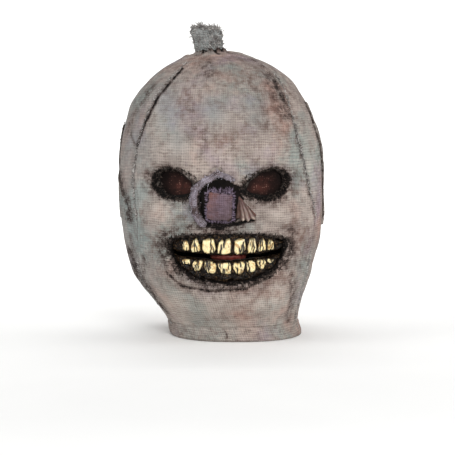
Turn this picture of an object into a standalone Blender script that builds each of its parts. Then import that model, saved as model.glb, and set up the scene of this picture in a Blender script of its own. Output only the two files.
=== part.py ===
"""Full-head latex mask in the form of a stuffed sackcloth head.

A poured latex skin, open at the neck, mouth and eyes, carries glued panels of coarse cloth.
The mask stands on its neck hem: +Z is up, the face looks along -Y and +X is the viewer's right.
The latex below the mouth is a second solid, so that the chin can turn down with the wearer's jaw.
"""

import math

import bmesh
import bpy
import numpy as np

# Driving dimensions, in metres and degrees.
DOME_BASE = 0.150  # height where the skull starts to close
CROWN = 0.277  # top of the latex, under the tuft
ROUNDNESS = 2.3  # exponent of the squared-off ellipses of the head
GAP = 0.0003
TRIM_GAP = 0.0006
LATEX = 0.0022
CLOTH = 0.0012
OVER_CLOTH = GAP + CLOTH + TRIM_GAP
HALF_DEPTH = 0.1185
BACK = HALF_DEPTH - GAP - CLOTH
NECK_DRIFT = 0.016  # the neck sits to one side of the head
DRIFT_TOP = 0.056

# Height above the hem, half width, reach to the front and reach to the back.
RINGS = np.array(
    (
        (0.000, 0.0655, 0.0680, 0.0720),
        (0.015, 0.0660, 0.0690, 0.0730),
        (0.037, 0.0765, 0.0870, 0.0800),
        (0.061, 0.0895, 0.0985, 0.0930),
        (0.080, 0.0950, 0.1010, 0.1020),
        (0.110, 0.1000, 0.1025, 0.1110),
        (DOME_BASE, 0.1020, 0.1035, BACK),
    )
)

# Swellings and hollows of the face: place across and up, spread across and up, height.
RELIEF = (
    (-0.042, 0.182, 0.028, 0.013, 0.0035),
    (0.042, 0.182, 0.028, 0.013, 0.0035),
    (-0.043, 0.156, 0.024, 0.016, -0.0065),
    (0.043, 0.156, 0.024, 0.016, -0.0065),
    (0.001, 0.137, 0.019, 0.018, 0.0138),
    (-0.062, 0.120, 0.024, 0.018, 0.003),
    (0.062, 0.120, 0.024, 0.018, 0.003),
    (0.008, 0.085, 0.050, 0.026, 0.004),
    (0.004, 0.047, 0.030, 0.014, 0.003),
)

# Grid lines shared by the latex and the cloth over it, so that the layers stay parallel.
FACE_STEP = 5.0
FACE_EDGE = 45.0
NAPE_STEP = 11.25
HEM_ROLL_TOP = 0.0142
CLOTH_FOOT = 0.0152
ROW_HEIGHTS = (0.0, HEM_ROLL_TOP, 0.026, 0.038, 0.050, 0.060, 0.069, 0.078, 0.087, 0.096, 0.105, 0.114)
NOSE_ROWS = (0.121, 0.128, 0.135, 0.142)
DOME_ROWS = 11
RIM_LIFT = 0.0016
FLARE_EDGE = 0.0008
SEAM = 45.0
NAPE_SEAM = 123.75
SEAM_GAP = 0.35

EYE_PLACE = (0.043, 0.1565)
EYE_HOLE = (0.0205, 0.0120)
EYE_SLANT = 16.0
NOSE_HOLE = (0.0035, 0.1365, 0.0290, 0.0235, 4.0)
MOUTH_MIDDLE = 0.0081
MOUTH_HALF = 0.0530
MOUTH_CORNER = 0.0975
MOUTH_RISE = 0.0095
MOUTH_DROP = 0.0355
CLOTH_BACK_OFF = 0.0015  # how far the cloth stops short of an opening
SLIT_HEIGHT = 0.0845
SLIT_HALF = 0.0032
SLIT_CURVE = 1.5
GUM = 0.003
UPPER_TEETH = (0.0060, 0.0085, 0.0125, 0.0130, 0.0110, 0.0085, 0.0065, 0.0050)
LOWER_TEETH = (0.0075, 0.0095, 0.0120, 0.0125, 0.0110, 0.0085, 0.0080, 0.0050)
TOOTH_SPAN = 0.088
UPPER_TOOTH = 0.0145
LOWER_TOOTH = 0.0115
LIP_CLEARANCE = 0.0018

SCREEN = 0.0008
SCREEN_OVERLAP = 0.004  # how far a screen reaches past its eye hole
SCREEN_DISH = 0.002
NOSE_RIM_PLACE = (-0.0010, 0.1382)
NOSE_RIM_HALF = (0.0265, 0.0250)
NOSE_RIM_SPAN = (40.0, 262.0)
NOSE_RIM_ROLL = 0.0026
PATCH_PLACE = (0.0008, 0.1365)
PATCH_HALF = (0.0128, 0.0148)
PATCH_LEAN = 0.001
PATCH_THICK = 0.0008
FLARE_PLACE = (0.0262, 0.1330)
FLARE_HALF = (0.0105, 0.0085)
FLARE_SLANT = 8.0
FLARE_HIGH = 0.004
TONGUE_HALF = (0.018, 0.0125, 0.0055)
TONGUE_PLACE = (0.008, -0.0770, 0.0845)
CLOTH_TOP = 0.2745
EAR_SPAN = (80.0, 114.0)
EAR_HEIGHTS_LEFT = (0.125, 0.200)
EAR_HEIGHTS_RIGHT = (0.115, 0.212)
EAR_CLOTH = 0.001
SEAM_HEIGHTS_LEFT = (0.128, 0.270)
SEAM_HEIGHTS_RIGHT = (0.142, 0.270)
LIP_STITCH_LEFT = 0.047
LIP_STITCH_RIGHT = 0.036
LIP_STITCH_DROP = 0.0065
LIP_STITCH_TOP = 0.068
LIP_THREAD = 0.0009
# Radius and height of the gathered tuft and of the collar at its foot.
TUFT_PLACE = (-0.0125, 0.0)
TUFT_PROFILE = (
    (0.0135, 0.2782),
    (0.0140, 0.2830),
    (0.0132, 0.2890),
    (0.0146, 0.2970),
    (0.0152, 0.3015),
    (0.0110, 0.3035),
)
TUFT_SQUASH = 0.78
TUFT_LEAN = -0.08
COLLAR_PROFILE = (
    (0.0155, 0.2795),
    (0.0225, 0.2793),
    (0.0235, 0.2806),
    (0.0200, 0.2825),
    (0.0160, 0.2835),
)
COLLAR_SQUASH = 0.80

JAW_AXIS = (-0.008, 0.122)  # Y and Z of the wearer's jaw joints
JAW_OPEN = 7.0
SLIT_FRONT = -0.106  # Y of the slit at the middle of the mouth
PARTING_GAP = 0.0005
SWING_ROOM = 1.0  # degrees to spare behind the open chin
JAW_PIECES = ("latex_jaw", "chin", "hem_roll_front", "lower", "lip", "tongue")


def clear_scene():
    """Removes whatever the file starts with."""
    for thing in list(bpy.data.objects):
        bpy.data.objects.remove(thing, do_unlink=True)


def material(name, colour, roughness, metallic=0.0):
    """A plain Principled finish."""
    made = bpy.data.materials.new(name)
    made.use_nodes = True
    shader = made.node_tree.nodes["Principled BSDF"]
    shader.inputs["Base Color"].default_value = (*colour, 1.0)
    shader.inputs["Roughness"].default_value = roughness
    shader.inputs["Metallic"].default_value = metallic
    return made


def girths(height):
    """Half width, front reach and back reach: a cubic through RINGS, then a squared-off dome."""
    height = np.asarray(height, float)
    z = RINGS[:, 0]
    low = np.clip(height, 0.0, DOME_BASE)
    i = np.clip(np.searchsorted(z, low, side="right") - 1, 0, len(z) - 2)
    span = z[i + 1] - z[i]
    t = (low - z[i]) / span
    slopes = np.zeros_like(RINGS[:, 1:])
    slopes[1:-1] = (RINGS[2:, 1:] - RINGS[:-2, 1:]) / (z[2:] - z[:-2])[:, None]
    closing = np.clip((height - DOME_BASE) / (CROWN - DOME_BASE), 0.0, 1.0)
    dome = (1.0 - closing**ROUNDNESS) ** (1.0 / ROUNDNESS)
    found = []
    for k in range(3):
        p, m = RINGS[:, k + 1], slopes[:, k]
        rest = (
            p[i] * (1 + 2 * t) * (1 - t) ** 2
            + m[i] * span * t * (1 - t) ** 2
            + p[i + 1] * t**2 * (3 - 2 * t)
            + m[i + 1] * span * t**2 * (t - 1)
        )
        found.append(rest * dome)
    return found


def height_of(level):
    """Levels 0 to 1 climb evenly to the dome's base, and 1 to 2 turn evenly up to the crown."""
    turn = np.clip(np.asarray(level, float) - 1.0, 0.0, 1.0) * math.pi / 2
    rise = np.sin(turn) ** (2.0 / ROUNDNESS) * (CROWN - DOME_BASE)
    return np.clip(level, 0.0, 1.0) * DOME_BASE + rise


def level_of(height):
    """The level whose height this is."""
    share = np.clip((np.asarray(height, float) - DOME_BASE) / (CROWN - DOME_BASE), 0.0, 1.0)
    dome = np.arcsin(share ** (ROUNDNESS / 2.0)) / (math.pi / 2)
    return np.clip(height, 0.0, DOME_BASE) / DOME_BASE + dome


def relief(x, z):
    """How far the face stands proud of the plain head, as a sum of soft round swellings."""
    total = np.zeros_like(x)
    for across, up, wide, tall, high in RELIEF:
        total += high * np.exp(-(((x - across) / wide) ** 2) - ((z - up) / tall) ** 2)
    return total


def drift(height):
    """How far the head's middle has moved sideways at this height."""
    return NECK_DRIFT * np.clip(1.0 - np.asarray(height, float) / DRIFT_TOP, 0.0, 1.0) ** 1.6


def bare_head(azimuth, level):
    """A point on the latex's outer face. Azimuth is 0 at the face's middle and grows towards +X."""
    z = height_of(level)
    half, front, back = girths(z)
    reach = np.where(np.cos(azimuth) > 0, front, back)
    size = 1e-9
    across = (np.abs(np.sin(azimuth)) / (half + size)) ** ROUNDNESS
    along = (np.abs(np.cos(azimuth)) / (reach + size)) ** ROUNDNESS
    radius = (across + along) ** (-1.0 / ROUNDNESS)
    x = radius * np.sin(azimuth) + drift(z)
    y = -radius * np.cos(azimuth) - relief(x, z) * np.clip(np.cos(azimuth), 0.0, 1.0)
    return np.stack([x, y, z], axis=-1)


def skin(azimuth, level, offset):
    """A point this far outside the latex's outer face, along its normal."""
    azimuth, level = np.broadcast_arrays(np.asarray(azimuth, float), np.asarray(level, float))
    step = 1e-3
    here = bare_head(azimuth, level)
    around = bare_head(azimuth + step, level) - bare_head(azimuth - step, level)
    up = bare_head(azimuth, level + step) - bare_head(azimuth, np.maximum(level - step, 0.0))
    normal = np.cross(around, up)
    length = np.linalg.norm(normal, axis=-1, keepdims=True)
    normal = np.where(length > 1e-12, normal / np.maximum(length, 1e-12), (0.0, 0.0, 1.0))
    moved = here + normal * np.asarray(offset)[..., None]
    hem = level <= 0.0
    moved[hem, 2] = here[hem, 2]
    return moved


def front(x, z, offset):
    """A point on or off the face at this place across and height."""
    x, z = np.broadcast_arrays(np.asarray(x, float), np.asarray(z, float))
    half, reach, _ = girths(z)
    aside = x - drift(z)
    y = reach * (1.0 - np.clip(np.abs(aside / half), 0.0, 0.999) ** ROUNDNESS) ** (1.0 / ROUNDNESS)
    return skin(np.arctan2(aside, y), level_of(z), offset)


def add_mesh(name, points, faces, finish, smooth=50.0):
    """A mesh object with its faces turned outwards."""
    mesh = bpy.data.meshes.new(name)
    mesh.from_pydata([tuple(p) for p in points], [], faces)
    body = bmesh.new()
    body.from_mesh(mesh)
    bmesh.ops.recalc_face_normals(body, faces=body.faces)
    body.to_mesh(mesh)
    body.free()
    mesh.shade_smooth()
    mesh.set_sharp_from_angle(angle=math.radians(smooth))
    thing = bpy.data.objects.new(name, mesh)
    bpy.context.scene.collection.objects.link(thing)
    if finish:
        mesh.materials.append(finish)
    return thing


def shell(name, outer, inner, finish, around=False, capped=False):
    """A closed wall between two grids of points.

    around joins the last column to the first, and capped closes the last row.
    """
    rows, columns = outer.shape[:2]
    points = np.concatenate([outer.reshape(-1, 3), inner.reshape(-1, 3)])
    half = rows * columns
    steps = columns if around else columns - 1
    faces = []
    for r in range(rows - 1):
        for c in range(steps):
            a, b = r * columns + c, r * columns + (c + 1) % columns
            for corner in ((a, b, b + columns), (a, b + columns, a + columns)):
                faces += [corner, tuple(half + v for v in reversed(corner))]
    edges = [list(range(columns))]
    if not capped:
        edges.append([(rows - 1) * columns + c for c in range(columns)])
    if not around:
        edges += [[r * columns for r in range(rows)], [r * columns + columns - 1 for r in range(rows)]]
    for edge in edges:
        ring = edge + edge[:1] if around else edge
        for a, b in zip(ring[:-1], ring[1:]):
            faces.append((a, b, b + half, a + half))
    if capped:
        last = (rows - 1) * columns
        tips = [outer[-1].mean(axis=0), inner[-1].mean(axis=0)]
        points = np.concatenate([points, tips])
        for c in range(columns):
            a, b = last + c, last + (c + 1) % columns
            faces += [(a, b, 2 * half), (half + b, half + a, 2 * half + 1)]
    return add_mesh(name, points, faces, finish)


def cutter(name, outline, axis, low, high):
    """A prism that cuts other parts. Outline is in X and Z for axis Y, and in Y and Z for axis X."""
    ends = []
    for place in (low, high):
        for p, q in outline:
            ends.append((p, place, q) if axis == "Y" else (place, p, q))
    n = len(outline)
    faces = [tuple(range(n)), tuple(reversed(range(n, 2 * n)))]
    faces += [(i, (i + 1) % n, n + (i + 1) % n, n + i) for i in range(n)]
    thing = add_mesh(name, ends, faces, None)
    thing.hide_render = True
    thing.display_type = "WIRE"
    return thing


def cut(thing, tool, operation="DIFFERENCE"):
    """Adds a Boolean with the exact solver."""
    boolean = thing.modifiers.new(tool.name, "BOOLEAN")
    boolean.operation = operation
    boolean.object = tool
    boolean.solver = "EXACT"


def ellipse(middle_x, middle_z, half_x, half_z, slant=0.0, count=20):
    """Outline of an ellipse turned by slant degrees."""
    turn = math.radians(slant)
    found = []
    for i in range(count):
        a = 2 * math.pi * i / count
        p, q = half_x * math.cos(a), half_z * math.sin(a)
        across = middle_x + p * math.cos(turn) - q * math.sin(turn)
        up = middle_z + p * math.sin(turn) + q * math.cos(turn)
        found.append((across, up))
    return found


def mouth_top(x):
    """Height of the upper lip's edge."""
    u = np.clip((np.asarray(x, float) - MOUTH_MIDDLE) / MOUTH_HALF, -1.0, 1.0)
    return MOUTH_CORNER + MOUTH_RISE * np.sqrt(1.0 - u**2)


def mouth_bottom(x):
    """Height of the lower lip's edge: a deep grin."""
    u = np.clip((np.asarray(x, float) - MOUTH_MIDDLE) / MOUTH_HALF, -1.0, 1.0)
    return MOUTH_CORNER - MOUTH_DROP * (1.0 - u**2) ** 0.45


def slit(x):
    """Height of the middle of the gap between the rows of teeth."""
    return SLIT_HEIGHT + SLIT_CURVE * (np.asarray(x, float) - MOUTH_MIDDLE) ** 2


def mouth_outline(grow):
    """The mouth opening, grown by this much all round."""
    turn = np.linspace(0.0, math.pi, 13)
    x = MOUTH_MIDDLE + MOUTH_HALF * np.cos(turn)
    spread = 1.0 + grow / MOUTH_HALF
    wide = MOUTH_MIDDLE + (x - MOUTH_MIDDLE) * spread
    top = list(zip(wide, mouth_top(x) + grow))
    bottom = list(zip(wide, mouth_bottom(x) - grow))
    return top + bottom[::-1][1:-1]


def chin_sector(name, slack, swing):
    """A wedge along X whose edge is near the jaw axis.

    Its roof runs to the slit and its back hangs to the hem.
    slack moves the roof and the back outwards, and swing turns the back further towards the nape.
    """
    far = 0.4
    roof = math.atan2(JAW_AXIS[1] - SLIT_HEIGHT, JAW_AXIS[0] - SLIT_FRONT)
    back = math.radians(swing)
    roof_way = (-math.cos(roof), -math.sin(roof))
    back_way = (math.sin(back), -math.cos(back))
    apex = (
        JAW_AXIS[0] + slack * (math.cos(back) + math.sin(roof) * 0.5),
        JAW_AXIS[1] + slack * math.cos(roof),
    )
    outline = [
        apex,
        (apex[0] + far * roof_way[0], apex[1] + far * roof_way[1]),
        (-far, -far),
        (apex[0] + far * back_way[0], apex[1] + far * back_way[1]),
    ]
    return cutter(name, outline, "X", -far / 2, far / 2)


def columns():
    """Azimuths of the shared grid: close over the face, wide round the nape."""
    face = np.arange(-FACE_EDGE, FACE_EDGE + FACE_STEP / 2, FACE_STEP)
    rest = np.arange(FACE_EDGE + NAPE_STEP, 360.0 - FACE_EDGE - NAPE_STEP / 2, NAPE_STEP)
    return np.concatenate([face, rest])


def rows():
    """Levels of the shared grid, from the hem to just short of the crown."""
    low = level_of(np.array(ROW_HEIGHTS + NOSE_ROWS))
    return np.concatenate([low, 1.0 + np.linspace(0.01, 0.95, DOME_ROWS)])


def between(lines, low, high):
    """The two ends and every shared grid line that lies clear between them."""
    clear = 1e-6
    inner = lines[(lines > low + clear) & (lines < high - clear)]
    return np.concatenate([[low], inner, [high]])


def latex_skin(name, finish):
    """The whole poured skin, before the chin is parted from it."""
    around, up = np.meshgrid(np.radians(columns()), rows())
    return shell(name, skin(around, up, 0.0), skin(around, up, -LATEX), finish, around=True, capped=True)


def panel(name, left, right, low, high, finish, lift=GAP, thick=CLOTH):
    """A glued cloth panel between two azimuths in degrees and two heights."""
    lines = np.concatenate([columns() - 360.0, columns(), columns() + 360.0])
    azimuth = np.radians(between(lines, left, right))
    level = between(rows(), float(level_of(low)), float(level_of(high)))
    around, up = np.meshgrid(azimuth, level)
    return shell(name, skin(around, up, lift + thick), skin(around, up, lift), finish)


def thread(name, azimuth, low, high, finish, radius=0.0008):
    """A sewing thread laid along a meridian as a fine tube."""
    level = between(rows(), float(level_of(low)), float(level_of(high)))
    lift = OVER_CLOTH + radius
    return tube(name, skin(math.radians(azimuth), level, lift), finish, radius)


def tube(name, points, finish, radius):
    """A round tube with flat ends along a row of points."""
    curve = bpy.data.curves.new(name, "CURVE")
    curve.dimensions = "3D"
    curve.bevel_depth = radius
    curve.bevel_resolution = 1
    curve.use_fill_caps = True
    line = curve.splines.new("POLY")
    line.points.add(len(points) - 1)
    for place, p in zip(line.points, points):
        place.co = (*p, 1.0)
    curve.materials.append(finish)
    thing = bpy.data.objects.new(name, curve)
    bpy.context.scene.collection.objects.link(thing)
    return thing


def face_patch(name, xs, low, high, outer, inner, finish, rows=5):
    """A plate that follows the face between two height curves, with its own outer and inner offsets."""
    xs = np.asarray(xs, float)[None, :]
    share = np.linspace(0.0, 1.0, rows)[:, None]
    z = low(xs) + (high(xs) - low(xs)) * share
    x = xs + np.zeros_like(z)
    return shell(name, front(x, z, outer + np.zeros_like(z)), front(x, z, inner + np.zeros_like(z)), finish)


def tooth(name, middle, low, high, width, finish):
    """One rounded tooth on the gum, crowned towards the front."""
    u, v = np.meshgrid(np.linspace(-1.0, 1.0, 5), np.linspace(-1.0, 1.0, 5))
    squeeze = 1.0 - 0.16 * np.abs(v) ** 3
    x = middle + u * squeeze * width / 2
    z = (low + high) / 2 + v * (1.0 - 0.10 * np.abs(u) ** 3) * (high - low) / 2
    base = -LATEX - GAP
    crown = base + 0.0012 + 0.0016 * (1.0 - u**4) * (1.0 - v**4)
    return shell(name, front(x, z, crown), front(x, z, base + np.zeros_like(x)), finish)


def lump(name, middle, half, slant, rim, high, thick, finish):
    """A low domed oval plate on the face; rim and high are its outer offsets at the edge and the middle."""
    share = np.linspace(1.0, 0.25, 4)[:, None]
    turn = np.linspace(0.0, 2 * math.pi, 17)[:-1][None, :]
    slope = math.radians(slant)
    p, q = half[0] * share * np.cos(turn), half[1] * share * np.sin(turn)
    x = middle[0] + p * math.cos(slope) - q * math.sin(slope)
    z = middle[1] + p * math.sin(slope) + q * math.cos(slope)
    top = rim + (high - rim) * (1.0 - share**2) + np.zeros_like(x)
    under = top - thick if thick else np.full_like(x, rim - FLARE_EDGE)
    return shell(name, front(x, z, top), front(x, z, under), finish, around=True, capped=True)


def nose_rim(finish):
    """The rolled edge of torn cloth, most of the way round the nose."""
    turn = np.radians(np.linspace(*NOSE_RIM_SPAN, 19))
    x = NOSE_RIM_PLACE[0] + NOSE_RIM_HALF[0] * np.cos(turn)
    z = NOSE_RIM_PLACE[1] + NOSE_RIM_HALF[1] * np.sin(turn)
    return tube("nose_rim", front(x, z, OVER_CLOTH + RIM_LIFT + NOSE_RIM_ROLL), finish, NOSE_RIM_ROLL)


def nose_patch(finish):
    """A square of thin purple cloth over the lump of the nose."""
    u, v = np.meshgrid(np.linspace(-1.0, 1.0, 7), np.linspace(-1.0, 1.0, 7))
    x = PATCH_PLACE[0] + PATCH_HALF[0] * u + PATCH_LEAN * v
    z = PATCH_PLACE[1] + PATCH_HALF[1] * v
    under = np.full_like(x, TRIM_GAP)
    return shell("nose_patch", front(x, z, under + PATCH_THICK), front(x, z, under), finish)


def tongue(finish):
    """The tip of the tongue behind the slit: a flattened ball."""
    body = bmesh.new()
    bmesh.ops.create_uvsphere(body, u_segments=14, v_segments=8, radius=1.0)
    mesh = bpy.data.meshes.new("tongue")
    bmesh.ops.scale(body, vec=TONGUE_HALF, verts=body.verts)
    bmesh.ops.translate(body, vec=TONGUE_PLACE, verts=body.verts)
    body.to_mesh(mesh)
    body.free()
    mesh.shade_smooth()
    mesh.materials.append(finish)
    thing = bpy.data.objects.new("tongue", mesh)
    bpy.context.scene.collection.objects.link(thing)


def turned_ring(name, profile, middle, squash, finish, lean=0.0):
    """A body turned from a closed or open profile of (radius, height), flattened front to back."""
    turn = np.linspace(0.0, 2 * math.pi, 21)[:-1]
    points, faces = [], []
    n = len(turn)
    for radius, height in profile:
        shift = lean * (height - profile[0][1])
        for a in turn:
            across = middle[0] + radius * math.cos(a) + shift
            points.append((across, middle[1] + radius * squash * math.sin(a), height))
    for r in range(len(profile) - 1):
        for c in range(n):
            faces.append((r * n + c, r * n + (c + 1) % n, (r + 1) * n + (c + 1) % n, (r + 1) * n + c))
    if name == "tuft_collar":
        last = (len(profile) - 1) * n
        faces += [(last + c, last + (c + 1) % n, (c + 1) % n, c) for c in range(n)]
    else:
        faces += [tuple(range(n)), tuple((len(profile) - 1) * n + c for c in range(n))]
    return add_mesh(name, points, faces, finish)


def hang_on_bodies():
    """Parents every piece to the head, or to the jaw's empty, which lies on the hinge line."""
    head = bpy.data.objects.new("head_body", None)
    jaw = bpy.data.objects.new("jaw_body", None)
    jaw.location = (0.0, *JAW_AXIS)
    for empty in (head, jaw):
        bpy.context.scene.collection.objects.link(empty)
    bpy.context.view_layer.update()
    for thing in list(bpy.data.objects):
        if thing.type == "EMPTY" or thing.hide_render:
            continue
        thing.parent = jaw if thing.name.startswith(JAW_PIECES) else head
        thing.matrix_parent_inverse = thing.parent.matrix_world.inverted()


def build():
    """Makes every piece and joins it to the two bodies' empties."""
    clear_scene()
    latex = material("latex", (0.30, 0.27, 0.25), 0.6)
    sackcloth = material("sackcloth", (0.32, 0.28, 0.26), 0.9)
    dark_sackcloth = material("dark_sackcloth", (0.18, 0.17, 0.17), 0.9)
    mesh_black = material("screen_mesh", (0.05, 0.02, 0.02), 0.8)
    purple = material("purple_cloth", (0.20, 0.14, 0.18), 0.9)
    gum_black = material("gum_black", (0.02, 0.015, 0.012), 0.3)
    ivory = material("tooth_ivory", (0.65, 0.50, 0.26), 0.35)
    flesh = material("tongue_red", (0.25, 0.05, 0.05), 0.4)
    sewing = material("sewing_thread", (0.09, 0.07, 0.06), 0.9)

    sector = chin_sector("chin_sector", 0.0, 0.0)
    room = chin_sector("chin_room", PARTING_GAP, JAW_OPEN + SWING_ROOM)
    eyes = [
        cutter(
            f"eye_cut_{s}",
            ellipse(s * EYE_PLACE[0], EYE_PLACE[1], *EYE_HOLE, s * EYE_SLANT),
            "Y",
            -0.2,
            -0.03,
        )
        for s in (-1, 1)
    ]
    cloth_hole = (EYE_HOLE[0] + CLOTH_BACK_OFF, EYE_HOLE[1] + CLOTH_BACK_OFF)
    cloth_eyes = [
        cutter(
            f"cloth_eye_cut_{s}",
            ellipse(s * EYE_PLACE[0], EYE_PLACE[1], *cloth_hole, s * EYE_SLANT),
            "Y",
            -0.2,
            -0.03,
        )
        for s in (-1, 1)
    ]
    mouth = cutter("mouth_cut", mouth_outline(0.0), "Y", -0.2, -0.03)
    cloth_mouth = cutter("cloth_mouth_cut", mouth_outline(CLOTH_BACK_OFF), "Y", -0.2, -0.03)
    nose = cutter("nose_cut", ellipse(*NOSE_HOLE, count=26), "Y", -0.2, -0.03)

    head = latex_skin("latex_head_skin", latex)
    for tool in (room, mouth, *eyes):
        cut(head, tool)
    jaw = latex_skin("latex_jaw_skin", latex)
    cut(jaw, sector, "INTERSECT")
    cut(jaw, mouth)

    top = CLOTH_TOP
    brow = panel("face_cloth", -SEAM + SEAM_GAP, SEAM - SEAM_GAP, 0.060, top, sackcloth)
    for tool in (room, nose, cloth_mouth, *cloth_eyes):
        cut(brow, tool)
    chin = panel("chin_cloth", -100.0, 100.0, CLOTH_FOOT, 0.118, sackcloth)
    cut(chin, sector, "INTERSECT")
    cut(chin, cloth_mouth)
    side_left = panel("side_cloth_left", -NAPE_SEAM, -SEAM - SEAM_GAP, CLOTH_FOOT, top, sackcloth)
    side_right = panel("side_cloth_right", SEAM + SEAM_GAP, NAPE_SEAM, CLOTH_FOOT, top, sackcloth)
    for side in (side_left, side_right):
        cut(side, room)
    panel("back_cloth", NAPE_SEAM + 0.5, 359.5 - NAPE_SEAM, CLOTH_FOOT, top, sackcloth)

    over = OVER_CLOTH
    panel("ear_patch_left", -EAR_SPAN[1], -EAR_SPAN[0], *EAR_HEIGHTS_LEFT, dark_sackcloth, over, EAR_CLOTH)
    panel("ear_patch_right", *EAR_SPAN, *EAR_HEIGHTS_RIGHT, dark_sackcloth, over, EAR_CLOTH)

    roll = (GAP, 0.0024)
    hem_foot = 0.0012
    hem_left = panel("hem_roll_front_left", -100.0, -9.0, hem_foot, HEM_ROLL_TOP, sackcloth, *roll)
    hem_right = panel("hem_roll_front_right", -8.2, 100.0, hem_foot, HEM_ROLL_TOP, sackcloth, *roll)
    hem_back = panel("hem_roll_back", 80.0, 280.0, hem_foot, HEM_ROLL_TOP, sackcloth, *roll)
    for roll_piece in (hem_left, hem_right):
        cut(roll_piece, sector, "INTERSECT")
    cut(hem_back, room)

    screen_rim = -LATEX - TRIM_GAP
    for side, word in ((-1, "left"), (1, "right")):
        half = (EYE_HOLE[0] + SCREEN_OVERLAP, EYE_HOLE[1] + SCREEN_OVERLAP)
        place = (side * EYE_PLACE[0], EYE_PLACE[1])
        dished = screen_rim - SCREEN_DISH
        lump(f"eye_screen_{word}", place, half, side * EYE_SLANT, screen_rim, dished, SCREEN, mesh_black)
    nose_rim(sackcloth)
    nose_patch(purple)
    flare_rim = OVER_CLOTH + FLARE_EDGE
    lump("nostril_flare", FLARE_PLACE, FLARE_HALF, FLARE_SLANT, flare_rim, flare_rim + FLARE_HIGH, None, latex)

    gum_face = -LATEX - TRIM_GAP - GAP
    plate = np.linspace(MOUTH_MIDDLE - MOUTH_HALF - 0.003, MOUTH_MIDDLE + MOUTH_HALF + 0.003, 15)
    face_patch(
        "upper_gum",
        plate,
        lambda x: slit(x) + SLIT_HALF,
        lambda x: np.maximum(mouth_top(x) + 0.004, slit(x) + 0.012),
        gum_face,
        gum_face - GUM,
        gum_black,
    )
    face_patch(
        "lower_gum",
        plate,
        lambda x: np.minimum(mouth_bottom(x) - 0.004, slit(x) - 0.012),
        lambda x: slit(x) - SLIT_HALF,
        gum_face,
        gum_face - GUM,
        gum_black,
    )
    tongue(flesh)
    rows_of_teeth = (("upper", UPPER_TEETH, 1.0, UPPER_TOOTH), ("lower", LOWER_TEETH, -1.0, LOWER_TOOTH))
    for word, widths, sign, long in rows_of_teeth:
        space = (TOOTH_SPAN - sum(widths)) / (len(widths) - 1)
        start = MOUTH_MIDDLE - TOOTH_SPAN / 2
        for number, width in enumerate(widths, 1):
            middle = start + width / 2
            start += width + space
            edge = np.array([middle - width / 2, middle + width / 2])
            bite = float(slit(middle)) + sign * (SLIT_HALF + 0.0008)
            root = bite + sign * long
            if sign > 0:
                root = min(root, float(mouth_top(edge).min()) - LIP_CLEARANCE)
            else:
                root = max(root, float(mouth_bottom(edge).max()) + LIP_CLEARANCE)
            tooth(f"{word}_tooth_{number}", middle, min(bite, root), max(bite, root), width, ivory)

    thread("seam_thread_left", -SEAM, *SEAM_HEIGHTS_LEFT, sewing)
    thread("seam_thread_right", SEAM, *SEAM_HEIGHTS_RIGHT, sewing)
    lip_x = np.linspace(MOUTH_MIDDLE - LIP_STITCH_LEFT, MOUTH_MIDDLE + LIP_STITCH_RIGHT, 15)
    lip_z = np.minimum(mouth_bottom(lip_x) - LIP_STITCH_DROP, LIP_STITCH_TOP)
    tube("lip_thread", front(lip_x, lip_z, np.full_like(lip_x, OVER_CLOTH + LIP_THREAD)), sewing, LIP_THREAD)

    turned_ring("crown_tuft", TUFT_PROFILE, TUFT_PLACE, TUFT_SQUASH, dark_sackcloth, lean=TUFT_LEAN)
    turned_ring("tuft_collar", COLLAR_PROFILE, TUFT_PLACE, COLLAR_SQUASH, dark_sackcloth)
    hang_on_bodies()


build()
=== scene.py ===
import math

import bmesh
import bpy
import numpy as np
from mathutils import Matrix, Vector


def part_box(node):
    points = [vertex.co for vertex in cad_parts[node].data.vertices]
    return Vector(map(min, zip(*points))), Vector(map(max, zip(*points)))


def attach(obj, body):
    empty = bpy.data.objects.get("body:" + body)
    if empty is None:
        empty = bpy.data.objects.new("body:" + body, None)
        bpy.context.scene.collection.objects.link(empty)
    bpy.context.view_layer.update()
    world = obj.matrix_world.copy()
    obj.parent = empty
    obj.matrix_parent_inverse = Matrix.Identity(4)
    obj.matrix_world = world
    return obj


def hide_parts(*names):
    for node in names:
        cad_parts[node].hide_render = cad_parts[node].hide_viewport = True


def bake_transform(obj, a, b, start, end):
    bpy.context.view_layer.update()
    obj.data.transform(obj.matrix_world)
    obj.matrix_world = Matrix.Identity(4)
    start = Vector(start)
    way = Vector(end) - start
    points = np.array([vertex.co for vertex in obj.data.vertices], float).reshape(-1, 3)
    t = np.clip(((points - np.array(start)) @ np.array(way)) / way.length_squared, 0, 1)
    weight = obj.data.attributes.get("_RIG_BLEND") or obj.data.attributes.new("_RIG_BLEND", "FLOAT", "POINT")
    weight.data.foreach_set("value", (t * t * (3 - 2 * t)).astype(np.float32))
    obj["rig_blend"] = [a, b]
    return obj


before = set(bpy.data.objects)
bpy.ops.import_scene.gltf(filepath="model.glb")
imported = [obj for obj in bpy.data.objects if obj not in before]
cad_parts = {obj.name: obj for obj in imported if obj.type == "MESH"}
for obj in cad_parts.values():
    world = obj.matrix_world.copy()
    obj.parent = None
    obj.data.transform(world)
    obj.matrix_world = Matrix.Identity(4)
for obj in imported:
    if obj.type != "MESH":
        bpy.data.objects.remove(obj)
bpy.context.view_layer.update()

# The latex skin. One skin poured in a plaster mould and peeled out, about 2 mm thick, open at the
# neck, mouth and eyes. It is brushed with thin black and brown paint inside the nose and round the
# mouth, and it stretches round the mouth when the wearer's jaw drops.
DOME_BASE = 0.150
CROWN = 0.277
ROUNDNESS = 2.3
LATEX = 0.0022
NECK_DRIFT = 0.016
DRIFT_TOP = 0.072
BACK_REACH = 0.1170
JAW_AXIS = np.array([0.0, -0.008, 0.122])
SLIT_FRONT = -0.106
SLIT_HEIGHT = 0.0845
SLIT_CURVE = 1.5
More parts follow.
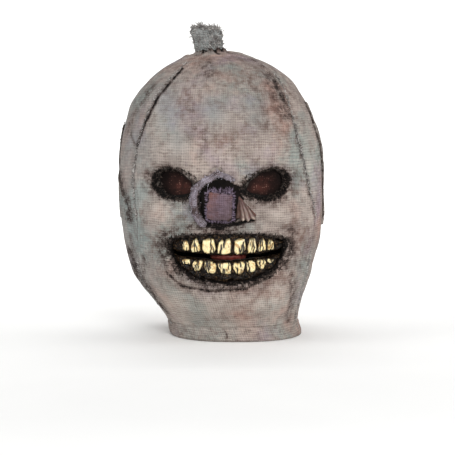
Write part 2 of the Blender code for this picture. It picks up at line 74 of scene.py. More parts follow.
RINGS = np.array(
    (
        (0.000, 0.0655, 0.0680, 0.0720),
        (0.015, 0.0660, 0.0690, 0.0730),
        (0.037, 0.0765, 0.0870, 0.0800),
        (0.061, 0.0895, 0.0985, 0.0930),
        (0.080, 0.0950, 0.1010, 0.1020),
        (0.110, 0.1000, 0.1025, 0.1110),
        (DOME_BASE, 0.1020, 0.1035, BACK_REACH),
    )
)
SWELLINGS = (
    (-0.042, 0.184, 0.030, 0.012, 0.0060),
    (0.042, 0.185, 0.030, 0.012, 0.0060),
    (-0.044, 0.156, 0.023, 0.016, -0.0090),
    (0.041, 0.156, 0.023, 0.016, -0.0090),
    (0.001, 0.137, 0.019, 0.018, 0.0138),
    (-0.060, 0.124, 0.022, 0.016, 0.0045),
    (0.062, 0.124, 0.022, 0.016, 0.0045),
    (0.008, 0.085, 0.050, 0.026, 0.004),
    (0.004, 0.044, 0.032, 0.013, 0.0045),
    (0.004, 0.215, 0.030, 0.022, 0.0025),
    (-0.052, 0.215, 0.014, 0.020, 0.0025),
)
EYE = (0.0414, 0.1548, 0.0178, 0.0110, 18.0)
EYE_SHIFT = 0.0010
MOUTH = (0.0075, 0.0975, 0.0525, 0.0095, 0.0355)
dice = np.random.default_rng(11)


def smooth(t):
    """The smooth step from 0 to 1: three t squared less two t cubed, with t held between 0 and 1."""
    t = np.clip(t, 0.0, 1.0)
    return t * t * (3.0 - 2.0 * t)


def girths(z):
    """Half width, front reach and back reach at height z.

    A cubic Hermite curve through RINGS up to the dome's base, times a superellipse arc that closes the dome.
    """
    z = np.asarray(z, float)
    known = RINGS[:, 0]
    low = np.clip(z, 0.0, DOME_BASE)
    i = np.clip(np.searchsorted(known, low, side="right") - 1, 0, len(known) - 2)
    span = known[i + 1] - known[i]
    t = (low - known[i]) / span
    slopes = np.zeros_like(RINGS[:, 1:])
    slopes[1:-1] = (RINGS[2:, 1:] - RINGS[:-2, 1:]) / (known[2:] - known[:-2])[:, None]
    closing = np.clip((z - DOME_BASE) / (CROWN - DOME_BASE), 0.0, 1.0)
    dome = (1.0 - closing**ROUNDNESS) ** (1.0 / ROUNDNESS)
    found = []
    for k in range(3):
        p, m = RINGS[:, k + 1], slopes[:, k]
        start = p[i] * (1 + 2 * t) * (1 - t) ** 2 + m[i] * span * t * (1 - t) ** 2
        end = p[i + 1] * t**2 * (3 - 2 * t) + m[i + 1] * span * t**2 * (t - 1)
        found.append((start + end) * dome)
    return found


def height_of(level):
    """Height of a level: 0 to 1 climbs evenly to the dome's base, 1 to 2 turns evenly up to the crown."""
    turn = np.clip(np.asarray(level, float) - 1.0, 0.0, 1.0) * math.pi / 2
    rise = np.sin(turn) ** (2.0 / ROUNDNESS) * (CROWN - DOME_BASE)
    return np.clip(level, 0.0, 1.0) * DOME_BASE + rise


def level_of(z):
    """The level of a height: the inverse of height_of."""
    share = np.clip((np.asarray(z, float) - DOME_BASE) / (CROWN - DOME_BASE), 0.0, 1.0)
    return np.clip(z, 0.0, DOME_BASE) / DOME_BASE + np.arcsin(share ** (ROUNDNESS / 2.0)) / (math.pi / 2)


def drift(z):
    """Sideways shift of the neck: NECK_DRIFT at the hem, falling as a power of the height to nothing."""
    return NECK_DRIFT * np.clip(1.0 - np.asarray(z, float) / DRIFT_TOP, 0.0, 1.0) ** 1.6


def patchy(a, b, size, seed):
    """Soft random patches from -1 to 1: a lattice of random numbers of that size, joined by smooth steps."""
    table = np.random.default_rng(seed).uniform(-1.0, 1.0, (64, 64))
    a, b = np.asarray(a, float) / size, np.asarray(b, float) / size
    i, j = np.floor(a).astype(int), np.floor(b).astype(int)
    s, t = smooth(a - i), smooth(b - j)
    i, j, k, m = i % 64, j % 64, (i + 1) % 64, (j + 1) % 64
    return (table[i, j] * (1 - s) + table[k, j] * s) * (1 - t) + (table[i, m] * (1 - s) + table[k, m] * s) * t


def lumpy(a, b, *layers):
    """Layers of soft random patches added up, each with a height, a size and a seed."""
    return sum(high * patchy(a, b, size, seed) for high, size, seed in layers)


def eye_ring(x, z, side):
    """1 on the eye hole's outline, less inside: a slanting ellipse, flat above, full at its outer end."""
    slant = math.radians(side * EYE[4])
    dx, dz = x - side * EYE[0] - EYE_SHIFT, z - EYE[1]
    p, q = dx * math.cos(slant) + dz * math.sin(slant), dz * math.cos(slant) - dx * math.sin(slant)
    length = np.hypot(p, q) + 1e-9
    tall = EYE[3] * (1.0 + 0.26 * side * p / length - 0.10 * q / length)
    return np.hypot(p / EYE[2], q / tall)


def mouth_ring(x, z):
    """1 on the mouth's outline, less inside: a superellipse, shallow above the corners and deep below."""
    u, w = np.abs(x - MOUTH[0]) / MOUTH[2], z - MOUTH[1]
    above = (u**2.4 + (np.maximum(w, 0.0) / MOUTH[3]) ** 2.4) ** (1 / 2.4)
    below = (u**2.2 + (np.maximum(-w, 0.0) / MOUTH[4]) ** 2.2) ** (1 / 2.2)
    return np.where(w > 0, above, below)


def off_line(x, z, line):
    """Distance from each place to a line through the given places, the least over its straight stretches."""
    line = np.asarray(line, float)
    best = np.full(np.shape(x), 1.0)
    for (ax, az), (bx, bz) in zip(line[:-1], line[1:]):
        run = (bx - ax) ** 2 + (bz - az) ** 2
        t = np.clip(((x - ax) * (bx - ax) + (z - az) * (bz - az)) / run, 0.0, 1.0)
        best = np.minimum(best, np.hypot(x - ax - t * (bx - ax), z - az - t * (bz - az)))
    return best


# Creases of the face, as lines of (across, up), with a width and a depth.
CREASES = (
    (((-0.036, 0.262), (-0.058, 0.236), (-0.072, 0.208), (-0.079, 0.188)), 0.0022, 0.0022),
    (((-0.064, 0.246), (-0.080, 0.222), (-0.092, 0.200)), 0.0040, 0.0020),
    (((-0.079, 0.187), (-0.0855, 0.197), (-0.087, 0.206)), 0.0018, 0.0022),
    (((-0.081, 0.186), (-0.083, 0.160), (-0.080, 0.130)), 0.0030, 0.0012),
    (((0.010, 0.274), (0.036, 0.270), (0.058, 0.246), (0.066, 0.222), (0.071, 0.206)), 0.0026, 0.0020),
    (((0.072, 0.204), (0.077, 0.184), (0.083, 0.158), (0.090, 0.124)), 0.0028, 0.0022),
    (((-0.009, 0.166), (-0.004, 0.1695), (0.001, 0.168), (0.004, 0.165)), 0.0014, 0.0014),
    (((0.020, 0.116), (0.031, 0.118), (0.040, 0.124)), 0.0022, 0.0014),
    (((-0.026, 0.128), (-0.038, 0.118), (-0.050, 0.106), (-0.057, 0.092)), 0.0055, 0.0030),
    (((0.038, 0.124), (0.052, 0.114), (0.066, 0.104), (0.073, 0.090)), 0.0055, 0.0032),
    (((-0.030, 0.203), (-0.012, 0.199), (0.006, 0.202), (0.026, 0.199)), 0.0050, 0.0012),
    (((-0.018, 0.180), (-0.012, 0.190), (-0.014, 0.202)), 0.0040, 0.0018),
    (((0.014, 0.178), (0.012, 0.190), (0.016, 0.204)), 0.0040, 0.0010),
    (((-0.050, 0.070), (-0.036, 0.057), (-0.010, 0.053), (0.026, 0.055), (0.048, 0.066)), 0.0026, 0.0018),
    (((-0.072, 0.082), (-0.074, 0.060), (-0.062, 0.040), (-0.052, 0.024)), 0.0045, 0.0030),
    (((-0.086, 0.100), (-0.082, 0.072), (-0.070, 0.046)), 0.0040, 0.0022),
    (((0.060, 0.078), (0.072, 0.060), (0.071, 0.040), (0.066, 0.016)), 0.0045, 0.0030),
    (((0.084, 0.110), (0.086, 0.090), (0.080, 0.070)), 0.0050, 0.0022),
    (((-0.030, 0.040), (-0.004, 0.034), (0.030, 0.038)), 0.0050, 0.0012),
    (((-0.030, 0.232), (-0.022, 0.216), (-0.026, 0.198)), 0.0060, 0.0022),
    (((0.030, 0.250), (0.040, 0.232), (0.044, 0.210)), 0.0055, 0.0026),
    (((-0.062, 0.140), (-0.070, 0.128), (-0.074, 0.110)), 0.0045, 0.0014),
    (((0.060, 0.144), (0.070, 0.132), (0.073, 0.112)), 0.0045, 0.0014),
)


def bare_head(azimuth, level):
    """A point of the latex's outer face.

    A superellipse of the girths at that height, pushed forward by soft bell-shaped swellings, and pulled
    back by creases whose depth is a bell of the distance to their line. Azimuth is 0 at the nose.
    """
    azimuth = (azimuth + math.pi) % (2 * math.pi) - math.pi
    z = height_of(level)
    half, front_reach, back_reach = girths(z)
    reach = np.where(np.cos(azimuth) > 0, front_reach, back_reach)
    across = (np.abs(np.sin(azimuth)) / (half + 1e-9)) ** ROUNDNESS
    along = (np.abs(np.cos(azimuth)) / (reach + 1e-9)) ** ROUNDNESS
    radius = (across + along) ** (-1.0 / ROUNDNESS)
    lumps = lumpy(azimuth * 0.1 + 3.0, z, (0.0017, 0.031, 5), (0.0007, 0.012, 6))
    lumps = lumps + 0.0006 * patchy(azimuth * 0.1 + z * 0.5 + 3.0, z * 0.35, 0.008, 7)
    radius = (
        radius
        + lumps * smooth(z / 0.03) * smooth((CROWN - z) / 0.01)
        * (1.0 - smooth((np.abs(azimuth) - 2.6) / 0.5))
    )
    shoulder = 0.0052 * np.exp(-(((z - 0.236) / 0.026) ** 2)) - 0.0032 * smooth((0.272 - z) / 0.03)
    radius = radius + shoulder * smooth(-np.sin(azimuth) * 1.2) * smooth(z / 0.02)
    radius = radius - 0.0022 * np.exp(-(((z - 0.170) / 0.034) ** 2)) * smooth(np.sin(azimuth) * 1.2)
    x = radius * np.sin(azimuth) + drift(z)
    proud = np.zeros_like(x)
    for place, up, wide, tall, high in SWELLINGS:
        proud = proud + high * np.exp(-(((x - place) / wide) ** 2) - ((z - up) / tall) ** 2)
    for line, wide, deep in CREASES:
        proud = proud - deep * np.exp(-((off_line(x, z, line) / wide) ** 2))
    for side in (-1, 1):
        ring = eye_ring(x, z, side)
        proud = proud - 0.0030 * smooth((1.35 - ring) / 0.40)
    y = -radius * np.cos(azimuth) - proud * np.clip(np.cos(azimuth) * 1.6, 0.0, 1.0)
    return np.stack([x, y, z], axis=-1)


def skin(azimuth, level, offset):
    """The head's face moved out by offset along its normal, which is the cross product of two small steps."""
    azimuth, level = np.broadcast_arrays(np.asarray(azimuth, float), np.asarray(level, float))
    step = 2e-3
    here = bare_head(azimuth, level)
    around = bare_head(azimuth + step, level) - bare_head(azimuth - step, level)
    up = bare_head(azimuth, level + step) - bare_head(azimuth, np.maximum(level - step, 0.0))
    normal = np.cross(around, up)
    length = np.linalg.norm(normal, axis=-1, keepdims=True)
    normal = np.where(length > 1e-12, normal / np.maximum(length, 1e-12), (0.0, 0.0, 1.0))
    moved = here + normal * (np.zeros(azimuth.shape) + offset)[..., None]
    at_hem = level <= 1e-6
    moved[at_hem, 2] = here[at_hem, 2]
    return moved


def facing(x, z):
    """Azimuth and level of the face at this x and z, from the superellipse solved for its depth."""
    x, z = np.broadcast_arrays(np.asarray(x, float), np.asarray(z, float))
    half, reach, _ = girths(z)
    aside = x - drift(z)
    y = reach * (1.0 - np.clip(np.abs(aside / half), 0.0, 0.999) ** ROUNDNESS) ** (1.0 / ROUNDNESS)
    return np.arctan2(aside, y), level_of(z)


def front(x, z, offset):
    """The place on the face with this x and z, moved out by offset along the normal."""
    azimuth, level = facing(x, z)
    return skin(azimuth, level, offset)


def cells(rows, columns, around=False, keep=None, start=0):
    """Four corners of each cell of a grid of points, row by row; keep drops cells that are false in it."""
    r, c = np.meshgrid(np.arange(rows - 1), np.arange(columns if around else columns - 1), indexing="ij")
    n = (c + 1) % columns
    quads = np.stack(
        [r * columns + c, r * columns + n, (r + 1) * columns + n, (r + 1) * columns + c], axis=-1
    )
    return (quads if keep is None else quads[keep]).reshape(-1, 4) + start


def put(name, points, quads, finish, uv=None, paints=None, weld=0.0, turn=False):
    """A mesh from an array of points and an array of four-cornered faces.

    weld merges points closer than that, which closes poles, and turn sets every face outwards afterwards.
    uv gives a map of metres on the cloth, and paints gives shares of paint, both one for each point.
    """
    points = np.asarray(points, float).reshape(-1, 3)
    mesh = bpy.data.meshes.new(name)
    mesh.vertices.add(len(points))
    mesh.vertices.foreach_set("co", points.astype(np.float32).ravel())
    mesh.loops.add(quads.size)
    mesh.loops.foreach_set("vertex_index", quads.astype(np.int32).ravel())
    mesh.polygons.add(len(quads))
    mesh.polygons.foreach_set("loop_start", np.arange(0, quads.size, 4, dtype=np.int32))
    mesh.update(calc_edges=True)
    if uv is not None:
        layer = mesh.uv_layers.new(name="Cloth")
        layer.data.foreach_set("uv", np.asarray(uv, np.float32).reshape(-1, 2)[quads.ravel()].ravel())
    for paint, share in (paints or {}).items():
        layer = mesh.attributes.new(paint, "FLOAT", "POINT")
        layer.data.foreach_set("value", np.asarray(share, np.float32).ravel())
    if weld or turn:
        body = bmesh.new()
        body.from_mesh(mesh)
        if weld:
            bmesh.ops.remove_doubles(body, verts=body.verts, dist=weld)
            bmesh.ops.dissolve_degenerate(body, edges=body.edges, dist=weld / 4)
        if turn:
            bmesh.ops.recalc_face_normals(body, faces=body.faces)
        loose = [v for v in body.verts if not v.link_faces]
        bmesh.ops.delete(body, geom=loose, context="VERTS")
        body.to_mesh(mesh)
        body.free()
    mesh.validate()
    mesh.shade_smooth()
    mesh.materials.append(finish)
    piece = bpy.data.objects.new(name, mesh)
    bpy.context.scene.collection.objects.link(piece)
    return piece


def stretch(piece):
    """Lets a piece stretch between the head and the jaw.

    The share that follows the jaw is a smooth step of the depth below the plane from the jaw joints to the
    slit, times a smooth step that falls from the cheeks to the nape, so the nape stays with the head.
    """
    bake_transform(piece, "head", "jaw", start=(0.0, -0.030, 0.112), end=(0.0, -0.034, 0.098))
    mesh = piece.data
    places = np.zeros(len(mesh.vertices) * 3, np.float32)
    mesh.vertices.foreach_get("co", places)
    x, y, z = places.reshape(-1, 3).T
    roof = math.atan2(JAW_AXIS[2] - SLIT_HEIGHT, JAW_AXIS[1] - SLIT_FRONT)
    below = (y - JAW_AXIS[1]) * math.sin(roof) - (z - JAW_AXIS[2]) * math.cos(roof)
    beside = np.clip(np.abs(x - MOUTH[0]) - MOUTH[2], 0.0, 0.06)
    half = 0.007 + 0.45 * beside
    share = smooth((below + half * 0.8) / (2.0 * half)) * smooth((0.035 - y) / 0.085)
    mesh.attributes["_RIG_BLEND"].data.foreach_set("value", share.astype(np.float32))
    return piece


def linear(code):
    """sRGB hex to linear colour: the two-part sRGB curve on each of the three bytes."""
    parts = [int(code[i : i + 2], 16) / 255 for i in (1, 3, 5)]
    return (*[p / 12.92 if p <= 0.04045 else ((p + 0.055) / 1.055) ** 2.4 for p in parts], 1.0)


def node(tree, kind, *values, give=0, **settings):
    """Adds one node and gives its output of that number.

    settings go on the node itself. values fill its open sockets in order: a socket is linked, a hex code is a
    colour, and None leaves the socket alone.
    """
    made = tree.nodes.new("ShaderNode" + kind)
    for key, value in settings.items():
        setattr(made, key, value)
    for socket, value in zip([socket for socket in made.inputs if socket.enabled], values):
        if isinstance(value, bpy.types.NodeSocket):
            tree.links.new(value, socket)
        elif value is not None:
            socket.default_value = linear(value) if isinstance(value, str) else value
    return [socket for socket in made.outputs if socket.enabled][give]


def finish_of(name):
    """A new material, with its tree, its Principled shader and the place on the object."""
    made = bpy.data.materials.new(name)
    made.use_nodes = True
    tree = made.node_tree
    return made, tree, tree.nodes["Principled BSDF"], node(tree, "TexCoord", give=3)


def washed(tree, colour, *washes):
    """Lays washes of paint over a colour: each has a value, its range, its greatest share and a code."""
    for value, low, high, most, code in washes:
        share = node(tree, "MapRange", value, low, high, 0.0, most)
        colour = node(tree, "Mix", share, colour, code, data_type="RGBA")
    return colour


def surface(tree, shader, colour, rough, height=None, depth=0.0005, strength=0.5, **constants):
    """Joins colour, roughness and a bump of that depth in metres to a shader, and sets its constants."""
    tree.links.new(colour, shader.inputs["Base Color"])
    if isinstance(rough, bpy.types.NodeSocket):
        tree.links.new(rough, shader.inputs["Roughness"])
    else:
        shader.inputs["Roughness"].default_value = rough
    if height is not None:
        tree.links.new(node(tree, "Bump", strength, depth, None, height), shader.inputs["Normal"])
    for key, value in constants.items():
        shader.inputs[key.replace("_", " ")].default_value = value


# Painted latex: natural rubber cast matt and washed with thin paint. It shows as a dull grey-brown skin,
# brown-black where the Soot paint lies.
latex_paint, tree, shader, place = finish_of("cast_latex_painted")
mottle = node(tree, "TexNoise", place, 140.0, 5.0)
pores = node(tree, "TexNoise", place, 900.0, 3.0)
soot_and_shade = node(tree, "Attribute", attribute_name="Soot_and_shade", give=2)
bare = washed(tree, "#6f655f", (mottle, 0.35, 0.65, 1.0, "#8c837c"))
painted = washed(tree, "#080605", (mottle, 0.4, 0.7, 1.0, "#140f0d"))
skin_colour = node(tree, "Mix", soot_and_shade, bare, painted, data_type="RGBA")
rough = node(tree, "MapRange", mottle, 0.3, 0.7, 0.55, 0.80)
height = node(tree, "Math", mottle, pores, operation="ADD")
surface(tree, shader, skin_colour, rough, height, 0.0006, Specular_IOR_Level=0.06)

columns = np.radians(
    np.concatenate(
        [np.linspace(-180, -72, 55)[:-1], np.linspace(-72, 72, 145), np.linspace(72, 180, 55)[1:-1]]
    )
)
levels = np.concatenate([[0.0], np.linspace(0.012, 1.0, 120), 1.0 + np.linspace(0.02, 0.97, 50)])
around, up = np.meshgrid(columns, levels)


def open_holes(azimuth, level, rings, face):
    """Opens holes in a grid of the head and draws the grid's lines onto their outlines.

    A cell goes when its middle lies inside a ring. A corner that kept and dropped cells share is moved
    away from the ring's centre by one over its ring value, which puts it on the outline.
    """
    place = bare_head(azimuth, level)
    x, z = place[..., 0].copy(), place[..., 2].copy()
    keep = np.ones((x.shape[0] - 1, x.shape[1] - 1), bool)
    for ring, centre, size in rings:
        value = ring(x, z) / size
        value = np.where(face, value, 9.0)
        middle = (value[:-1, :-1] + value[1:, :-1] + value[:-1, 1:] + value[1:, 1:]) / 4
        inside = middle < 1.0
        keep &= ~inside
        padded_in = np.zeros(x.shape, bool)
        padded_out = np.zeros(x.shape, bool)
        for dr in (0, 1):
            for dc in (0, 1):
                padded_in[dr : dr + inside.shape[0], dc : dc + inside.shape[1]] |= inside
                padded_out[dr : dr + inside.shape[0], dc : dc + inside.shape[1]] |= ~inside
        edge = padded_in & padded_out
        x = np.where(edge, centre[0] + (x - centre[0]) / value, x)
        z = np.where(edge, centre[1] + (z - centre[1]) / value, z)
        new_azimuth, new_level = facing(x, z)
        azimuth, level = np.where(edge, new_azimuth, azimuth), np.where(edge, new_level, level)
    return azimuth, level, keep


hole_rings = (
    (lambda x, z: eye_ring(x, z, -1), (-EYE[0] + EYE_SHIFT, EYE[1]), 1.0),
    (lambda x, z: eye_ring(x, z, 1), (EYE[0] + EYE_SHIFT, EYE[1]), 1.0),
    (lambda x, z: mouth_ring(x, z) - 0.022 * patchy(x + 3, z, 0.0030, 41), (MOUTH[0], MOUTH[1]), 1.0),
)
wrapped = np.concatenate([around, around[:, :1] + 2 * math.pi], axis=1)
wrapped_up = np.concatenate([up, up[:, :1]], axis=1)
face_area = np.cos(wrapped) > 0.2
a, l, keep = open_holes(wrapped, wrapped_up, hole_rings, face_area)
outer, inner = skin(a, l, 0.0), skin(a, l, -LATEX)
rows, width = a.shape
count = rows * width
quads = [cells(rows, width, keep=keep), cells(rows, width, keep=keep, start=count)[:, ::-1]]
ids = np.arange(count).reshape(rows, width)
hem = ids[0]
quads.append(np.stack([hem[1:], hem[:-1], hem[:-1] + count, hem[1:] + count], axis=-1))
lost_above = keep[:-1] & ~keep[1:]
lost_below = ~keep[:-1] & keep[1:]
lost_right = keep[:, :-1] & ~keep[:, 1:]
lost_left = ~keep[:, :-1] & keep[:, 1:]
for lost, first, second in (
    (lost_above, ids[1:-1, :-1], ids[1:-1, 1:]),
    (lost_below, ids[1:-1, 1:], ids[1:-1, :-1]),
    (lost_right, ids[1:, 1:-1], ids[:-1, 1:-1]),
    (lost_left, ids[:-1, 1:-1], ids[1:, 1:-1]),
):
    p, q = first[lost], second[lost]
    quads.append(np.stack([q, p, p + count, q + count], axis=-1))
caps = []
points = np.concatenate([outer.reshape(-1, 3), inner.reshape(-1, 3)])
for layer, flip in ((0, 1), (count, -1)):
    # The last ring closes on a row of points that all lie at the crown, and are merged into one.
    ring_ids = ids[-1] + layer
    tip = len(points) + np.arange(width)
    points = np.concatenate(
        [points, np.repeat(points[ring_ids[:-1]].mean(axis=0, keepdims=True), width, axis=0)]
    )
    cap = np.stack([ring_ids[:-1], ring_ids[1:], tip[1:], tip[:-1]], axis=-1)
    caps.append(cap[:, ::flip])
ring_x, ring_z = points[:, 0], points[:, 2]
at_front = points[:, 1] < -0.02
nose_off = np.hypot((ring_x - 0.001) / 0.030, (ring_z - 0.1375) / 0.026)
mouth_off = mouth_ring(ring_x, ring_z)
eye_off = np.minimum(eye_ring(ring_x, ring_z, -1), eye_ring(ring_x, ring_z, 1))
dark = np.maximum.reduce(
    [smooth((1.25 - mouth_off) / 0.2), smooth((1.3 - eye_off) / 0.2), smooth((1.15 - nose_off) / 0.2)]
)
dark = np.where(at_front, dark, 0.0)
all_quads = np.concatenate(quads)
latex_skin = put(
    "latex_skin", points, np.concatenate([all_quads] + caps), latex_paint, paints={"Soot_and_shade": dark}, weld=2e-6
)
stretch(latex_skin)
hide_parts("latex_head_skin", "latex_jaw_skin")

# The cloth panels. Coarse cotton gauze, soaked in thin latex and laid on the skin in a front, two side and
# a back panel, then dry-brushed grey and stained with thinned brown, green and rust paint. Their colour also
# holds painted shade in the creases, folds and seams and painted highlights on the raised spots.
LIFT = 0.0007
seam_z = np.array([0.000, 0.025, 0.080, 0.120, 0.150, 0.185, 0.208, 0.236, 0.262, 0.277])
left_seam_deg = np.array([-66.0, -61.0, -52.5, -48.4, -50.2, -49.4, -46.4, -42.6, -37.7, -40.0])
right_seam_deg = np.array([72.0, 66.0, 59.5, 58.6, 52.0, 47.0, 45.0, 47.0, 53.0, 50.0])


def left_seam(z):
    """Azimuth of the seam at the left, read between the known places."""
    return np.radians(np.interp(z, seam_z, left_seam_deg))


def right_seam(z):
    """Azimuth of the seam at the right, read between the known places."""
    return np.radians(np.interp(z, seam_z, right_seam_deg))


def gauze(name, codes, weave_mm=2.2, depth=0.0006):
    """Open gauze in plain weave under a brushed skin of latex.

    Two crossed bands of threads give the height, each thread a little lighter or darker than the next, broken
    up by soft noise. The colour is a slow mottle of paints, darker in the pits of the weave, brushed lighter
    by the piece's Pale paint, which holds painted highlights and painted light, and stained by its Chill,
    Rust and Soot paints, where the Soot also holds painted shade.
    """
    made, tree, shader, here = finish_of(name)
    wander = node(tree, "TexNoise", here, 60.0, 3.0, give=1)
    shift = node(
        tree, "VectorMath", wander, (0.0030, 0.0030, 0.0), node(tree, "TexCoord", give=2),
        operation="MULTIPLY_ADD",
    )
    bands = 0.31416 / (weave_mm / 1000)
    warp = node(tree, "TexWave", shift, bands, give=1, bands_direction="X")
    weft = node(tree, "TexWave", shift, bands, give=1, bands_direction="Y")
    along_weft = node(tree, "Mapping", shift, None, None, (100.0, 1150.0 / weave_mm, 1.0))
    along_warp = node(tree, "Mapping", shift, None, None, (1150.0 / weave_mm, 80.0, 1.0))
    weft_tone = node(tree, "TexNoise", along_weft, 1.0, 2.0)
    warp_tone = node(tree, "TexNoise", along_warp, 1.0, 2.0)
    slow = node(tree, "TexNoise", here, 24.0, 4.0, 0.62)
    first = node(tree, "TexNoise", here, 17.0, 4.0, 0.6, give=1)
    parts = [node(tree, "SeparateColor", first, give=k) for k in range(3)]
    fine = node(tree, "TexNoise", here, 430.0, 4.0, 0.7)
    grain = node(tree, "TexNoise", here, 150.0, 4.0, 0.65)
    ribs = node(tree, "Math", warp, 0.42, operation="MULTIPLY")
    ribs = node(tree, "Math", weft, 0.58, ribs, operation="MULTIPLY_ADD")
    worn = node(tree, "MapRange", grain, 0.35, 0.62, 0.25, 1.0)
    pits = node(tree, "Math", node(tree, "MapRange", ribs, 0.15, 0.60, 1.0, 0.0), worn, operation="MULTIPLY")
    streaks = node(tree, "Math", warp_tone, 0.4, operation="MULTIPLY")
    streaks = node(tree, "Math", weft_tone, 0.6, streaks, operation="MULTIPLY_ADD")
    paints = ("Chill", "Rust", "Soot_and_shade", "Pale")
    chill, rust, soot_and_shade, pale = [node(tree, "Attribute", attribute_name=paint, give=2) for paint in paints]
    brushed_highlight = node(
        tree, "Math", pale, node(tree, "MapRange", ribs, 0.2, 0.8, 0.35, 0.85), operation="MULTIPLY"
    )
    uneven = node(tree, "MapRange", grain, 0.3, 0.7, -0.25, 0.25)
    rusted = node(tree, "MapRange", node(tree, "Math", rust, uneven, operation="ADD"), 0.05, 1.0)
    speck = node(tree, "MapRange", node(tree, "Math", fine, grain, operation="ADD"), 0.78, 1.2, -0.24, 0.24)
    grime_and_shade = node(
        tree, "Math", speck, node(tree, "MapRange", soot_and_shade, 0.07, 0.34), soot_and_shade, operation="MULTIPLY_ADD"
    )
    sunk = node(tree, "Math", soot_and_shade, 0.4, operation="MULTIPLY")
    grime_and_shade = node(tree, "Math", pits, sunk, grime_and_shade, operation="MULTIPLY_ADD")
    colour = washed(
        tree,
        codes[0],
        (slow, 0.36, 0.62, 1.0, codes[1]),
        (parts[0], 0.49, 0.63, 0.75, codes[2]),
        (parts[1], 0.49, 0.63, 0.75, codes[3]),
        (parts[2], 0.52, 0.68, 0.55, codes[6]),
        (streaks, 0.50, 0.64, 0.38, codes[4]),
        (streaks, 0.50, 0.36, 0.26, codes[5]),
        (grain, 0.50, 0.70, 0.40, codes[5]),
        (pits, 0.0, 1.0, 0.60, codes[5]),
        (brushed_highlight, 0.0, 1.0, 0.85, codes[4]),
        (chill, 0.0, 1.0, 0.55, "#7f8a8a"),
        (rusted, 0.0, 1.0, 0.85, "#71483a"),
        (grime_and_shade, 0.0, 0.55, 0.85, "#453733"),
        (grime_and_shade, 0.45, 0.90, 1.0, "#0a0706"),
    )
    rough = node(tree, "MapRange", fine, 0.3, 0.7, 0.82, 0.98)
    height = node(
        tree, "Math", fine, 0.8, node(tree, "Math", ribs, worn, operation="MULTIPLY"),
        operation="MULTIPLY_ADD",
    )
    height = node(tree, "Math", grain, 1.2, height, operation="MULTIPLY_ADD")
    matt = {"Sheen_Weight": 0.02, "Sheen_Roughness": 0.5, "Specular_IOR_Level": 0.10}
    surface(tree, shader, colour, rough, height, depth, 0.85, **matt)
    return made


GREYS = ("#8b807a", "#a1958d", "#a07e72", "#7c8a86", "#bdb2a8", "#554a45", "#85748a")
sack_gauze = gauze("cotton_gauze_latexed", GREYS)


def cloth_map(azimuth, level):
    """Metres on the cloth: the turn times a mean girth, and the length up the head, to keep threads even."""
    z = height_of(level)
    half = girths(z)[0]
    across = azimuth * half**0.6 * 0.1**0.4
    tall = np.where(level < 1.0, level * DOME_BASE, DOME_BASE + (level - 1.0) * 0.172)
    return np.stack([across + 1.0, tall + 1.0], axis=-1)


def dabs(x, z, places):
    """Soft bells of paint at chosen places: across, up, width, height and strength of each."""
    found = np.zeros_like(x)
    for place, up, wide, tall, most in places:
        found = np.maximum(found, most * np.exp(-(((x - place) / wide) ** 2) - ((z - up) / tall) ** 2))
    return found


